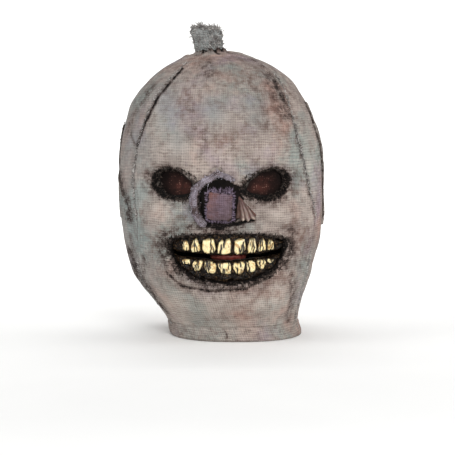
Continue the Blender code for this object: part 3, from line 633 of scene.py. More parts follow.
def stains_and_shade(points, seam_gap=None):
    """Shares of soot, rust, chill and pale at each point.

    Soot is a smooth step down from each hole's ring, from the nose and from the seams, plus a bell along
    chosen lines and along every crease. In the creases, folds and seams and under the nose this darkening is
    painted shade, and a rise towards the crown darkens the upper head as painted shade. Rust and chill are
    bells at the places where those paints were dabbed. Pale is a bell at dabs on raised spots that are
    painted highlights, plus painted light that lightens the lower head.
    """
    x, y, z = points[..., 0], points[..., 1], points[..., 2]
    fore = smooth((-y - 0.01) / 0.03)
    ragged = lumpy(x + 1, z, (0.09, 0.006, 21), (0.11, 0.0020, 22))
    above = (z - EYE[1] - 0.30 * (np.abs(x) - EYE[0])) / 0.014
    eyes = np.minimum(eye_ring(x, z, -1), eye_ring(x, z, 1)) + ragged * 0.8 + 0.42 * smooth(above)
    mouth = mouth_ring(x, z) + ragged * 0.45
    nose = np.hypot((x - 0.0005) / 0.0225, (z - 0.1370) / 0.0255) + ragged * 0.6
    soot_and_shade = np.maximum.reduce(
        [
            smooth((1.66 - eyes) / 0.46),
            0.34 * smooth((2.30 - eyes) / 0.9),
            smooth((1.105 - mouth) / 0.06),
            0.40 * smooth((1.32 - mouth + 0.5 * ragged) / 0.30),
            0.20 * smooth((1.75 - mouth + ragged) / 0.50),
            0.85 * smooth((1.06 - nose) / 0.14),
            0.26 * smooth((1.42 - nose) / 0.5),
        ]
    )
    shade_and_grime_lines = (
        # Painted shadows under the nose, its patch and the nostril.
        (((-0.014, 0.1165), (0.002, 0.1150), (0.016, 0.1175), (0.032, 0.1212)), 0.0024, 0.95),
        (((-0.020, 0.1130), (0.002, 0.1105), (0.022, 0.1130)), 0.0040, 0.40),
        # Painted shade in the folds beside the mouth.
        (((-0.052, 0.106), (-0.057, 0.094), (-0.052, 0.078)), 0.0060, 0.45),
        (((0.068, 0.110), (0.071, 0.099), (0.067, 0.086)), 0.0060, 0.42),
        # Grime on the right of the crown.
        (((0.046, 0.254), (0.055, 0.238), (0.062, 0.218)), 0.0080, 0.24),
        (((0.052, 0.250), (0.060, 0.232)), 0.0030, 0.55),
        (((-0.050, 0.070), (-0.036, 0.0570), (-0.010, 0.0530), (0.026, 0.055), (0.048, 0.066)), 0.0018, 0.60),
        # Painted shade in the arch over the nose, along the left crown seam, and in the folds down both sides
        # and along the jaw.
        (((-0.009, 0.166), (-0.004, 0.1695), (0.001, 0.168)), 0.0016, 0.55),
        (((-0.036, 0.262), (-0.058, 0.236), (-0.072, 0.208), (-0.079, 0.188)), 0.0014, 0.80),
        (((-0.088, 0.086), (-0.080, 0.064), (-0.066, 0.040), (-0.056, 0.026)), 0.0050, 0.50),
        (((-0.098, 0.160), (-0.092, 0.140), (-0.086, 0.118)), 0.0050, 0.45),
        (((0.072, 0.204), (0.077, 0.184), (0.083, 0.158), (0.090, 0.124)), 0.0014, 0.35),
        (((0.062, 0.070), (0.069, 0.056), (0.069, 0.040), (0.066, 0.016)), 0.0022, 0.30),
        # Painted shade in the left fold beside the nose.
        (((-0.026, 0.1155), (-0.040, 0.112), (-0.050, 0.106)), 0.0050, 0.32),
        (((-0.010, 0.258), (-0.014, 0.262), (-0.012, 0.268)), 0.0080, 0.22),
    )
    # Painted shade in every crease of the face, darker in the deeper creases.
    for line, wide, deep in CREASES:
        soot_and_shade = np.maximum(
            soot_and_shade,
            min(0.30, (110.0 if wide < 0.005 else 45.0) * deep)
            * np.exp(-((off_line(x, z, line) / (wide * 0.8)) ** 2)),
        )
    for line, wide, most in shade_and_grime_lines:
        soot_and_shade = np.maximum(soot_and_shade, most * np.exp(-((off_line(x, z, line) / wide) ** 2)) * (1.0 + 2.2 * ragged))
    soot_and_shade = soot_and_shade * fore
    # A steady dark wash all over, plus painted shade that darkens the upper head towards the crown.
    soot_and_shade = soot_and_shade + 0.04 + 0.08 * smooth((z - 0.165) / 0.07)
    # Darker along each seam, in random patches: painted shade in the seam's crease.
    if seam_gap is not None:
        soot_and_shade = np.maximum(soot_and_shade, 0.70 * smooth((0.0022 - seam_gap) / 0.0022) * (0.8 + 3.5 * ragged))
        soot_and_shade = np.maximum(soot_and_shade, 0.14 * smooth((0.010 - seam_gap) / 0.010))
    soot_and_shade = np.maximum(
        soot_and_shade, 0.40 * smooth((0.034 - np.hypot(x + 0.010, y)) / 0.020) * smooth((z - 0.24) / 0.01)
    )
    soot_and_shade = np.maximum(soot_and_shade, 0.20 * smooth((0.020 - z) / 0.012))
    rusty = (
        (0.074, 0.104, 0.010, 0.014, 0.75), (0.050, 0.062, 0.014, 0.006, 0.75),
        (0.022, 0.054, 0.012, 0.004, 0.7),
        (0.046, 0.048, 0.016, 0.010, 0.40), (0.056, 0.226, 0.014, 0.020, 0.45),
        (0.058, 0.145, 0.012, 0.004, 0.5),
        (0.006, 0.196, 0.020, 0.012, 0.25), (-0.058, 0.100, 0.012, 0.016, 0.30),
        (0.018, 0.254, 0.024, 0.010, 0.30),
        (-0.034, 0.232, 0.010, 0.016, 0.25), (0.030, 0.034, 0.020, 0.012, 0.30),
        (-0.070, 0.125, 0.012, 0.012, 0.2),
    )
    rust = dabs(x, z, rusty) * fore * (0.80 + 0.6 * patchy(x + 2, z, 0.007, 23))
    cold = (
        (-0.052, 0.228, 0.016, 0.030, 0.9), (-0.006, 0.222, 0.014, 0.016, 0.85),
        (-0.040, 0.196, 0.012, 0.016, 0.7), (0.030, 0.226, 0.016, 0.010, 0.6),
        (0.0, 0.118, 0.030, 0.006, 0.5), (0.034, 0.216, 0.010, 0.010, 0.7),
    )
    chill = np.maximum(smooth((-x - 0.045) / 0.04) * 0.75, dabs(x, z, cold))
    # Dry-brushed pale dabs on the brow, cheekbones, chin and other raised spots, placed as painted
    # highlights.
    highlight_dabs = (
        (-0.044, 0.188, 0.022, 0.007, 0.5), (0.044, 0.190, 0.022, 0.007, 0.5),
        (-0.062, 0.128, 0.018, 0.012, 0.8),
        (0.064, 0.128, 0.018, 0.012, 0.8), (0.004, 0.042, 0.040, 0.012, 0.8),
        (0.052, 0.046, 0.018, 0.020, 0.9),
        (-0.040, 0.034, 0.016, 0.020, 0.7), (0.004, 0.216, 0.020, 0.018, 0.4),
        (-0.056, 0.212, 0.010, 0.026, 0.7),
        (0.008, 0.060, 0.030, 0.003, 0.6), (0.086, 0.160, 0.008, 0.040, 0.7),
        (-0.010, 0.242, 0.024, 0.012, 0.2),
    )
    # Pale also rises towards the bottom of the head as painted light.
    pale = dabs(x, z, highlight_dabs) * fore + 0.35 * smooth((0.09 - z) / 0.06)
    pale = np.clip(pale * (0.9 + 0.5 * patchy(x + 5, z, 0.009, 24)), 0, 1)
    return {
        "Soot_and_shade": np.clip(soot_and_shade, 0, 1), "Rust": np.clip(rust, 0, 1), "Chill": np.clip(chill, 0, 1), "Pale": pale
    }


def panel(name, left, right, low, high, across, tall, holes, nodes, under=(0.0, 0.0), raise_edge=0.0009):
    """A glued panel between two seams.

    Its side edges follow the seam azimuths with a ragged noise, thicken over the last 4 mm where the gauze is
    folded, and dip to the skin in the last row or column. under tucks an edge below the next panel, in
    radians.
    """
    share = np.linspace(0.0, 1.0, across)[None, :]
    level = np.linspace(float(level_of(low)), float(level_of(high)), tall)[:, None] + np.zeros((1, across))
    z = height_of(level)
    fray = 0.004 * patchy(z, z * 0 + 5.0, 0.0035, 31 + len(name)) + 0.003 * patchy(z, z * 0 + 9.0, 0.0016, 37)
    a0, a1 = left(z) - under[0] + fray, right(z) + under[1] + fray
    azimuth = a0 + (a1 - a0) * share
    half = girths(z)[0]
    gap_left = (azimuth - a0) * half + (1.0 if under[0] else 0.0)
    gap_right = (a1 - azimuth) * half + (1.0 if under[1] else 0.0)
    gap = np.minimum(gap_left, gap_right)
    keep = None
    if holes:
        azimuth, level, keep = open_holes(azimuth, level, holes, np.cos(azimuth) > 0.2)
    lift = (
        LIFT + raise_edge * smooth((0.0042 - gap) / 0.002)
        + 0.0009 * smooth((0.0022 - np.abs(gap - 0.0055)) / 0.002) * (raise_edge > 0)
    )
    lift = np.where(gap < 1e-5, -0.0006, lift)
    lift[0] = -0.0006
    lift[-1] = -0.0006
    if holes:
        place = bare_head(azimuth, level)
        near = np.minimum.reduce([ring(place[..., 0], place[..., 2]) / size for ring, _, size in holes])
        lift = lift * smooth((near - 0.985) / 0.03) - 0.0003
    points = skin(azimuth, level, lift)
    piece = put(
        name, points, cells(tall, across, keep=keep), sack_gauze, cloth_map(azimuth, level),
        stains_and_shade(points, gap), weld=1e-7,
    )
    stretch(piece)
    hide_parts(*nodes)
    return piece


def ragged_mouth(x, z):
    """The mouth ring with a torn edge: its value less soft random patches."""
    return mouth_ring(x, z) - 0.055 * patchy(x + 3, z, 0.0042, 41) - 0.045 * patchy(x + 3, z, 0.0019, 42)


cloth_holes = (
    (
        lambda x, z: eye_ring(x, z, -1) - 0.05 * patchy(x + 3, z, 0.004, 43), (-EYE[0] + EYE_SHIFT, EYE[1]),
        1.06,
    ),
    (lambda x, z: eye_ring(x, z, 1) - 0.05 * patchy(x + 3, z, 0.004, 44), (EYE[0] + EYE_SHIFT, EYE[1]), 1.06),
    (ragged_mouth, (MOUTH[0], MOUTH[1]), 1.02),
    (
        lambda x, z: np.hypot((x - 0.0005) / 0.0208, (z - 0.1375) / 0.0210) - 0.05 * patchy(x, z, 0.004, 45),
        (0.0005, 0.1375), 1.0,
    ),
)
CLOTH_FOOT = 0.0135
CROWN_STOP = 0.2752
NAPE_SEAM = 123.75
nape_left = lambda z: np.radians(-NAPE_SEAM) + 0 * z
nape_right = lambda z: np.radians(NAPE_SEAM) + 0 * z
nape_end = lambda z: np.radians(360.0 - NAPE_SEAM) + 0 * z
panel(
    "front_cloth", left_seam, right_seam, CLOTH_FOOT, CROWN_STOP, 270, 300, cloth_holes,
    ("face_cloth", "chin_cloth"),
)
panel(
    "left_cloth", nape_left, left_seam, CLOTH_FOOT, CROWN_STOP, 110, 200, (), ("side_cloth_left",),
    under=(0.0, 0.05),
)
panel(
    "right_cloth", right_seam, nape_right, CLOTH_FOOT, CROWN_STOP, 110, 200, (), ("side_cloth_right",),
    under=(0.05, 0.0),
)
panel(
    "nape_cloth", nape_right, nape_end, CLOTH_FOOT, CROWN_STOP, 130, 190, (), ("back_cloth",),
    under=(0.04, 0.04),
)

# The hem rolls. The gauze is folded twice at the neck and pressed flat, in one strip round the nape and
# two at the front whose ends meet under the chin, the left one rounded over.


HEM_GIRTH = 0.067
ROLL_POINTS = 29


def hem_roll(name, start, stop, node_name, steps, round_start, round_stop):
    """A flattened roll along the neck.

    Its section is a superellipse 13 mm tall and 3 mm thick, carried round the neck from one azimuth to
    another; its height and thickness fall as the square root of a parabola over a rounded end.
    """
    turn = np.linspace(0.0, 2 * math.pi, ROLL_POINTS)
    azimuth = np.radians(np.linspace(start, stop, steps))[:, None] + 0 * turn[None, :]
    along = (azimuth - math.radians(start)) * HEM_GIRTH
    left_over = (math.radians(stop) - azimuth) * HEM_GIRTH
    ends = np.ones_like(azimuth)
    if round_start:
        ends = ends * np.sqrt(np.clip(1 - (1 - np.clip(along / 0.008, 0, 1)) ** 2, 0.0004, 1))
    if round_stop:
        ends = ends * np.sqrt(np.clip(1 - (1 - np.clip(left_over / 0.008, 0, 1)) ** 2, 0.0004, 1))
    c, s = np.cos(turn)[None, :], np.sin(turn)[None, :]
    wave = (
        0.0005 * patchy(along + 2, azimuth * 0 + 0.5, 0.009, 51)
        + 0.0003 * patchy(along + 2, s * 0.004 + 1, 0.003, 52)
    )
    up = 0.0072 + (0.0068 + wave * 0.6) * np.sign(s) * np.abs(s) ** 0.8 * ends
    lift = (
        -0.0004 + (0.0012 + wave) * np.sign(c) * np.abs(c) ** 0.8 * ends
        + 0.0004 * np.exp(-(((up - 0.0115) / 0.0012) ** 2)) * (c > 0)
    )
    up = np.maximum(up, 0.0003)
    points = skin(azimuth, level_of(up), lift)
    paints = stains_and_shade(points)
    end_off = np.minimum(along if round_start else along * 0 + 1, left_over if round_stop else along * 0 + 1)
    edge_dark = 0.45 * smooth((0.006 - end_off) / 0.005) + 0.18 * np.exp(-(((up - 0.0136) / 0.0014) ** 2))
    paints["Soot_and_shade"] = np.clip(np.maximum(paints["Soot_and_shade"] * 0.7, edge_dark), 0, 1)
    uv = np.stack([azimuth * HEM_GIRTH + 1.0, up + lift * c + 1.0], axis=-1)
    piece = put(name, points, cells(steps, ROLL_POINTS), sack_gauze, uv, paints, weld=2e-6, turn=True)
    stretch(piece)
    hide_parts(node_name)
    return piece


hem_roll("hem_roll_left", -100.0, -4.0, "hem_roll_front_left", 110, False, True)
hem_roll("hem_roll_right", -11.0, 100.0, "hem_roll_front_right", 120, True, False)
hem_roll("hem_roll_nape", 99.0, 261.0, "hem_roll_back", 130, False, False)

# The eye screens. Two ovals of black-brown nylon net, glued behind the eye holes and dished a little, so
# the wearer sees out and nobody sees in. A dull red middle with small light dots in the net's holes is a
# painted glow of light through the net, set low so that the net's top is a painted shadow of the brow.
screen_net, tree, shader, place = finish_of("nylon_net_black_brown")
flat_place = node(tree, "Mapping", place, None, None, (1.0, 0.0, 1.0))
# The net's holes are about 1 mm apart, drawn at 2 mm so that they show.
NET_PITCH = 0.0020
dots = node(tree, "TexVoronoi", flat_place, 1 / NET_PITCH, None, None, None, 0.45)
blotches = node(tree, "TexNoise", place, 150.0, 3.0)
# The net's Rust paint is no rust: it holds the painted glow of light through the net's middle.
glow = node(tree, "Attribute", attribute_name="Rust", give=2)
glow_tint = node(tree, "Math", glow, node(tree, "MapRange", blotches, 0.35, 0.6, 0.35, 1.0), operation="MULTIPLY")
far = node(tree, "MapRange", dots, 0.14, 0.30, 1.0, 0.0)
hole = node(tree, "Math", far, node(tree, "MapRange", blotches, 0.44, 0.58), operation="MULTIPLY")
lit_holes = node(tree, "Math", hole, glow, operation="MULTIPLY")
net_colour = washed(tree, "#0f0a09", (glow_tint, 0.0, 1.0, 1.0, "#41241f"), (lit_holes, 0.0, 1.0, 1.0, "#8a695e"))
surface(tree, shader, net_colour, 0.85, dots, 0.0004, 0.6, Specular_IOR_Level=0.10)
NET_RINGS = 24
NET_SPOKES = 72
share = np.concatenate([np.linspace(0.0, 1.0, NET_RINGS), np.linspace(1.0, 0.0, NET_RINGS)])[:, None]
net_back = np.concatenate([np.zeros(NET_RINGS), np.full(NET_RINGS, 0.0007)])[:, None]
turn = np.linspace(0.0, 2 * math.pi, NET_SPOKES + 1)[None, :-1]
for side, word in ((-1, "left"), (1, "right")):
    # Rings of an ellipse on the slant of the eye; the offset dishes by one less the ring's share squared.
    slope = math.radians(side * EYE[4])
    p, q = 0.0235 * share * np.cos(turn), 0.0160 * share * np.sin(turn)
    x = side * EYE[0] + EYE_SHIFT + p * math.cos(slope) - q * math.sin(slope)
    z = EYE[1] + p * math.sin(slope) + q * math.cos(slope)
    points = front(x, z, -0.0028 - 0.0015 * (1.0 - share**2) - net_back)
    # The painted glow is brightest a little below the middle, so the top of the net is a painted shadow of
    # the brow.
    middle = np.exp(-(((p + side * 0.003) / 0.0105) ** 2) - ((q + 0.0020) / 0.0066) ** 2)
    screen = put(
        f"eye_net_{word}", points, cells(2 * NET_RINGS, NET_SPOKES, around=True), screen_net, None,
        {"Rust": middle}, 2e-6, True,
    )
    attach(screen, "head")
    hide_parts(f"eye_screen_{word}")

# The nose rim. The torn edge of the face cloth, rolled back on itself round the nose and stiffened with
# latex. Dry brushing leaves lilac-white on its ridges.
rim_gauze = gauze(
    "cotton_gauze_lilac_brushed",
    ("#6a6064", "#867e86", "#76696c", "#60575b", "#b3adb6", "#1d1718", "#827b87"), 2.0, 0.0009,
)


def swept(path, radius, turns, seed, rough, flat=1.0):
    """A tube along a path of points.

    At each point a ring is drawn in the plane across the path, from the cross products of the run with the
    outward way; its radius is the given one times one plus soft random lumps.
    """
    run = np.gradient(path, axis=0)
    run /= np.linalg.norm(run, axis=1, keepdims=True)
    out = np.tile([[0.0, -1.0, 0.0]], (len(path), 1))
    side = np.cross(run, out)
    side /= np.linalg.norm(side, axis=1, keepdims=True)
    out = np.cross(side, run)
    turn = np.linspace(0.0, 2 * math.pi, turns + 1)[:-1]
    length = np.concatenate([[0], np.cumsum(np.linalg.norm(np.diff(path, axis=0), axis=1))])
    lumps = 1.0 + rough * patchy(length[:, None] + 1, turn[None, :] * 0.003 + 0.5, 0.004, seed)
    lumps += 0.7 * rough * patchy(length[:, None] + 1, turn[None, :] * 0.003 + 0.5, 0.0015, seed + 1)
    r = (np.zeros(len(path)) + radius)[:, None] * lumps
    ring = (
        side[:, None, :] * np.cos(turn)[None, :, None] + flat * out[:, None, :] * np.sin(turn)[None, :, None]
    )
    return path[:, None, :] + ring * r[..., None]


NOSE = (0.0002, 0.1375, 0.0220, 0.0246)
RIM_STEPS = 200
RIM_TURNS = 32
turn = np.radians(np.linspace(50.0, 240.0, RIM_STEPS))
share = np.linspace(0.0, 1.0, RIM_STEPS)
rim_x = NOSE[0] + NOSE[2] * np.cos(turn) + 0.0012 * patchy(share * 0.1, share * 0, 0.012, 61)
rim_z = NOSE[1] + NOSE[3] * np.sin(turn) + 0.0012 * patchy(share * 0.1, share * 0 + 1, 0.012, 62)
body = np.sqrt(np.clip(1 - (2 * share - 1) ** 6, 0.0, 1)) * (0.0028 + 0.0022 * smooth((share - 0.25) / 0.45))
tube_points = swept(front(rim_x, rim_z, 0.0016), body, RIM_TURNS, 63, 0.22, 0.80)
rim_paint = stains_and_shade(tube_points)
inner_side = smooth(
    (0.0228 - np.hypot(tube_points[..., 0] - NOSE[0], tube_points[..., 2] - NOSE[1])) / 0.0030
)
flecks = np.clip(patchy(tube_points[..., 0] + 1, tube_points[..., 2], 0.004, 64) * 1.6, 0, 1)
rim_paint["Soot_and_shade"] = np.clip(0.90 * inner_side + 0.40 * flecks * (1 - inner_side), 0, 0.95)
rim_paint["Rust"] = rim_paint["Rust"] * 0
rim_paint["Chill"] = rim_paint["Chill"] * 0
rim_uv = np.stack(
    [
        share[:, None] * 0.1 + 1 + 0 * tube_points[..., 0],
        np.linspace(0, 0.020, RIM_TURNS)[None, :] + 1 + 0 * tube_points[..., 0],
    ],
    axis=-1,
)
nose_rim = put(
    "nose_rim_roll", tube_points, cells(RIM_STEPS, RIM_TURNS, around=True), rim_gauze, rim_uv, rim_paint,
    2e-6, True,
)
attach(nose_rim, "head")
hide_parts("nose_rim")

# The nose patch. A square of thin mauve cloth glued over the latex lump, frayed on all four sides, with its
# left side stained pink, its edges darkened, and painted shade down its right side and along its bottom.
mauve_cloth = gauze(
    "dyed_muslin_mauve", ("#5e4e55", "#6f5d65", "#85535a", "#53454b", "#827280", "#2a2023", "#6b5f70"), 1.6,
    0.0005,
)
PATCH = (0.0004, 0.1338, 0.0114, 0.0130)
u, v = np.meshgrid(np.linspace(-1.0, 1.0, 100), np.linspace(-1.0, 1.0, 100))
rag_u = 1.0 + lumpy(v + 2, np.sign(u) + 2.0, (0.06, 0.22, 71), (0.05, 0.07, 72))
rag_v = 1.0 + lumpy(u + 2, np.sign(v) + 6.0, (0.06, 0.22, 73), (0.05, 0.07, 74))
patch_x = PATCH[0] + PATCH[2] * u * rag_u * (1.0 - 0.05 * v) + 0.0008 * v
patch_z = PATCH[1] + PATCH[3] * v * rag_v - 0.0008 * u
edge = np.maximum(np.abs(u), np.abs(v))
creased = lumpy(u + 3, v, (0.0006, 0.35, 75), (0.0004, 0.13, 76))
patch_lift = 0.0024 + creased - 0.0020 * smooth((edge - 0.84) / 0.16)
points = front(patch_x, patch_z, patch_lift)
worn = 0.10 * patchy(u + 3, v, 0.10, 77)
# Darker at all four edges, with painted shade down the right side and along the bottom of the lump.
edge_dark_and_shade = (
    0.40 * smooth((edge - 0.90) / 0.10) + 0.42 * smooth((u - 0.45 + worn) / 0.5) * smooth((0.6 - v) / 0.4)
    + 0.3 * smooth((-v - 0.5 + worn) / 0.5)
)
pink = np.exp(-(((u + 0.75) / 0.55) ** 2)) * (0.75 + 0.25 * v)
patch_paint = {"Soot_and_shade": np.clip(edge_dark_and_shade, 0, 0.8), "Rust": pink * 0.60, "Chill": 0 * u}
nose_patch = put(
    "nose_patch_cloth", points, cells(100, 100), mauve_cloth, np.stack([patch_x + 1, patch_z + 1], axis=-1),
    patch_paint,
)
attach(nose_patch, "head")
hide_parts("nose_patch")

# The nostril. Latex gathered into a fan of pleats beside the nose, narrow above and flared below, brushed
# beige on the ridges and rust-brown in the grooves.
pleat_latex, tree, shader, place = finish_of("cast_latex_dry_brushed")
mottle = node(tree, "TexNoise", place, 260.0, 4.0)
ridge, low_part = [node(tree, "Attribute", attribute_name=paint, give=2) for paint in ("Ridge", "Low")]
groove_colour = washed(tree, "#2c1e1b", (mottle, 0.35, 0.65, 1.0, "#54372f"))
ridge_colour = washed(
    tree, "#54403b", (low_part, 0.0, 1.0, 1.0, "#a59487"), (mottle, 0.45, 0.65, 0.6, "#7b6a70")
)
pleat_colour = node(tree, "Mix", ridge, groove_colour, ridge_colour, data_type="RGBA")
rough = node(tree, "MapRange", mottle, 0.3, 0.7, 0.60, 0.85)
surface(tree, shader, pleat_colour, rough, mottle, Specular_IOR_Level=0.3)
PLEAT_TURN = 24.0
WING_ROWS = 56
WING_COLUMNS = 60
down = np.linspace(0.0, 1.0, WING_ROWS)[:, None]
across = np.concatenate([np.linspace(0.0, 1.0, WING_COLUMNS), np.linspace(1.0, 0.0, WING_COLUMNS)])[None, :]
behind = (np.arange(2 * WING_COLUMNS) >= WING_COLUMNS)[None, :]
fan = np.radians(-98.0 + 50.0 * across)
reach = (0.0212 + 0.0060 * across + 0.0007 * np.cos(across * PLEAT_TURN)) * down
x = 0.0178 + reach * np.cos(fan)
z = 0.1440 + reach * np.sin(fan)
pleats = 0.5 + 0.5 * np.cos(across * PLEAT_TURN + 1.1 * patchy(across + down, down, 0.25, 81))
crown_of_wing = smooth(across / 0.22) * smooth((1 - across) / 0.30)
lip_fall = np.sqrt(np.clip(1 - (np.clip(down - 0.90, 0, 1) / 0.10) ** 2, 0, 1))
lift = (
    (0.0010 + 0.0062 * smooth(down) * crown_of_wing + 0.0013 * (pleats - 0.5) * down) * smooth(down / 0.08)
    * lip_fall
)
offset = np.where(behind, -0.0006, lift * smooth(across / 0.03) * smooth((1 - across) / 0.03) - 0.0006)
wing_paint = {
    "Ridge": (0.85 + 0.45 * patchy(across + 3, down, 0.09, 82)) * pleats * smooth(down / 0.4)
    * smooth((1 - down) / 0.06) * crown_of_wing
    + 0 * x,
    "Low": smooth((down - 0.25) / 0.6) + 0 * x,
}
flare = put(
    "nostril_pleats", front(x, z, offset), cells(WING_ROWS, 2 * WING_COLUMNS, around=True), pleat_latex, None,
    wing_paint, 2e-6, True,
)
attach(flare, "head")
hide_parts("nostril_flare")

# The gums. Two curved plates of cast latex glued behind the lips, one on the skull part and one on the
# chin, painted black-brown and varnished, so they shine in lumps round the roots of the teeth.
gum_latex, tree, shader, place = finish_of("cast_latex_varnished_black")
mottle = node(tree, "TexNoise", place, 190.0, 4.0)
fine = node(tree, "TexNoise", place, 620.0, 3.0)
gum_colour = washed(
    tree, "#070504", (mottle, 0.45, 0.68, 1.0, "#1e140e"), (fine, 0.56, 0.66, 0.55, "#5f4a33")
)
rough = node(tree, "MapRange", fine, 0.3, 0.7, 0.25, 0.50)
height = node(tree, "Math", mottle, fine, operation="ADD")
wet = {"Specular_IOR_Level": 0.10, "Coat_Weight": 0.04, "Coat_Roughness": 0.10}
surface(tree, shader, gum_colour, rough, height, 0.0008, 0.8, **wet)


def bite(x):
    """Height of the middle of the slit: a shallow parabola."""
    return SLIT_HEIGHT + SLIT_CURVE * (x - MOUTH[0]) ** 2


tooth_boxes = {n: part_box(n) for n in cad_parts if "tooth" in n}


def gum(name, upper, node_name, body):
    """One gum plate.

    A band of the face between the slit and behind the lip. Its offset swells towards each tooth's root as a
    bell, rolls back at the slit's edge, and carries soft random lumps. The back is the same band 3 mm further
    in.
    """
    u, v = np.meshgrid(np.linspace(-1.0, 1.0, 220), np.linspace(0.0, 1.0, 50))
    x = MOUTH[0] + (MOUTH[2] + 0.0028) * u
    edge = bite(x) + (0.0022 if upper else -0.0022) + 0.0005 * patchy(x + 1, x * 0, 0.004, 91)
    below = MOUTH[1] - MOUTH[4] * np.clip(1 - u**2, 0, 1) ** 0.5 - 0.0040
    lip = MOUTH[1] + 0.0135 + 0 * x if upper else np.minimum(below, edge - 0.010)
    z = edge + (lip - edge) * v
    swell = np.zeros_like(x)
    for key, box in tooth_boxes.items():
        if key.startswith("upper") == upper:
            middle = (box[0][0] + box[1][0]) / 2
            root = box[1][2] if upper else box[0][2]
            half = (box[1][0] - box[0][0]) / 2
            ring = np.hypot((x - middle) / (half + 0.0015), (z - root) / 0.0050)
            swell = np.maximum(swell, np.exp(-(((ring - 0.85) / 0.55) ** 2)))
    lumps = lumpy(x + 1, z, (0.0011, 0.0038, 92), (0.0007, 0.0016, 93))
    rolled = 0.0034 * (1.0 - smooth(v / 0.10))
    offset = -0.0030 + 0.0019 * swell + lumps * smooth(v / 0.1) - rolled
    face_side = front(x, z, offset)
    back_side = front(x, z, -0.0060 + 0 * x)
    rows, width = x.shape
    count = rows * width
    ids = np.arange(count).reshape(rows, width)
    edges = np.concatenate([ids[0], ids[1:, -1], ids[-1, -2::-1], ids[-2:0:-1, 0]])
    after = np.roll(edges, -1)
    rim = np.stack([edges, after, after + count, edges + count], axis=-1)
    quads = np.concatenate([cells(rows, width), cells(rows, width, start=count)[:, ::-1], rim])
    both = np.concatenate([face_side.reshape(-1, 3), back_side.reshape(-1, 3)])
    piece = put(name, both, quads, gum_latex, turn=True)
    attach(piece, body)
    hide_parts(node_name)


gum("upper_gum_plate", True, "upper_gum", "head")
gum("lower_gum_plate", False, "lower_gum", "jaw")

# The teeth. Eight above and eight below, cast in polyurethane and set in the gums, painted yellow-cream,
# washed brown at the roots, darkened round their whole outlines, chipped, and split by dark cracks down
# their fronts.
tooth_resin, tree, shader, place = finish_of("cast_resin_tooth_enamel")
tall = node(tree, "Mapping", place, None, None, (620.0, 200.0, 110.0))
streaks = node(tree, "TexNoise", tall, 1.0, 4.0, 0.6)
blots = node(tree, "TexNoise", place, 330.0, 3.0)
crack, root = [node(tree, "Attribute", attribute_name=paint, give=2) for paint in ("Crack", "Root")]
cream = washed(
    tree,
    "#dfc488",
    (streaks, 0.35, 0.65, 1.0, "#f6e8bd"),
    (blots, 0.52, 0.66, 0.80, "#a97b3f"),
    (streaks, 0.56, 0.68, 0.7, "#6b4520"),
    (root, 0.0, 1.0, 1.0, "#2c1a0e"),
    (crack, 0.0, 1.0, 1.0, "#0f0806"),
)
glaze = {"Specular_IOR_Level": 0.4, "Coat_Weight": 0.15, "Coat_Roughness": 0.15, "Subsurface_Weight": 0.05}
surface(tree, shader, cream, node(tree, "MapRange", blots, 0.3, 0.7, 0.30, 0.50), streaks, 0.0004, **glaze)


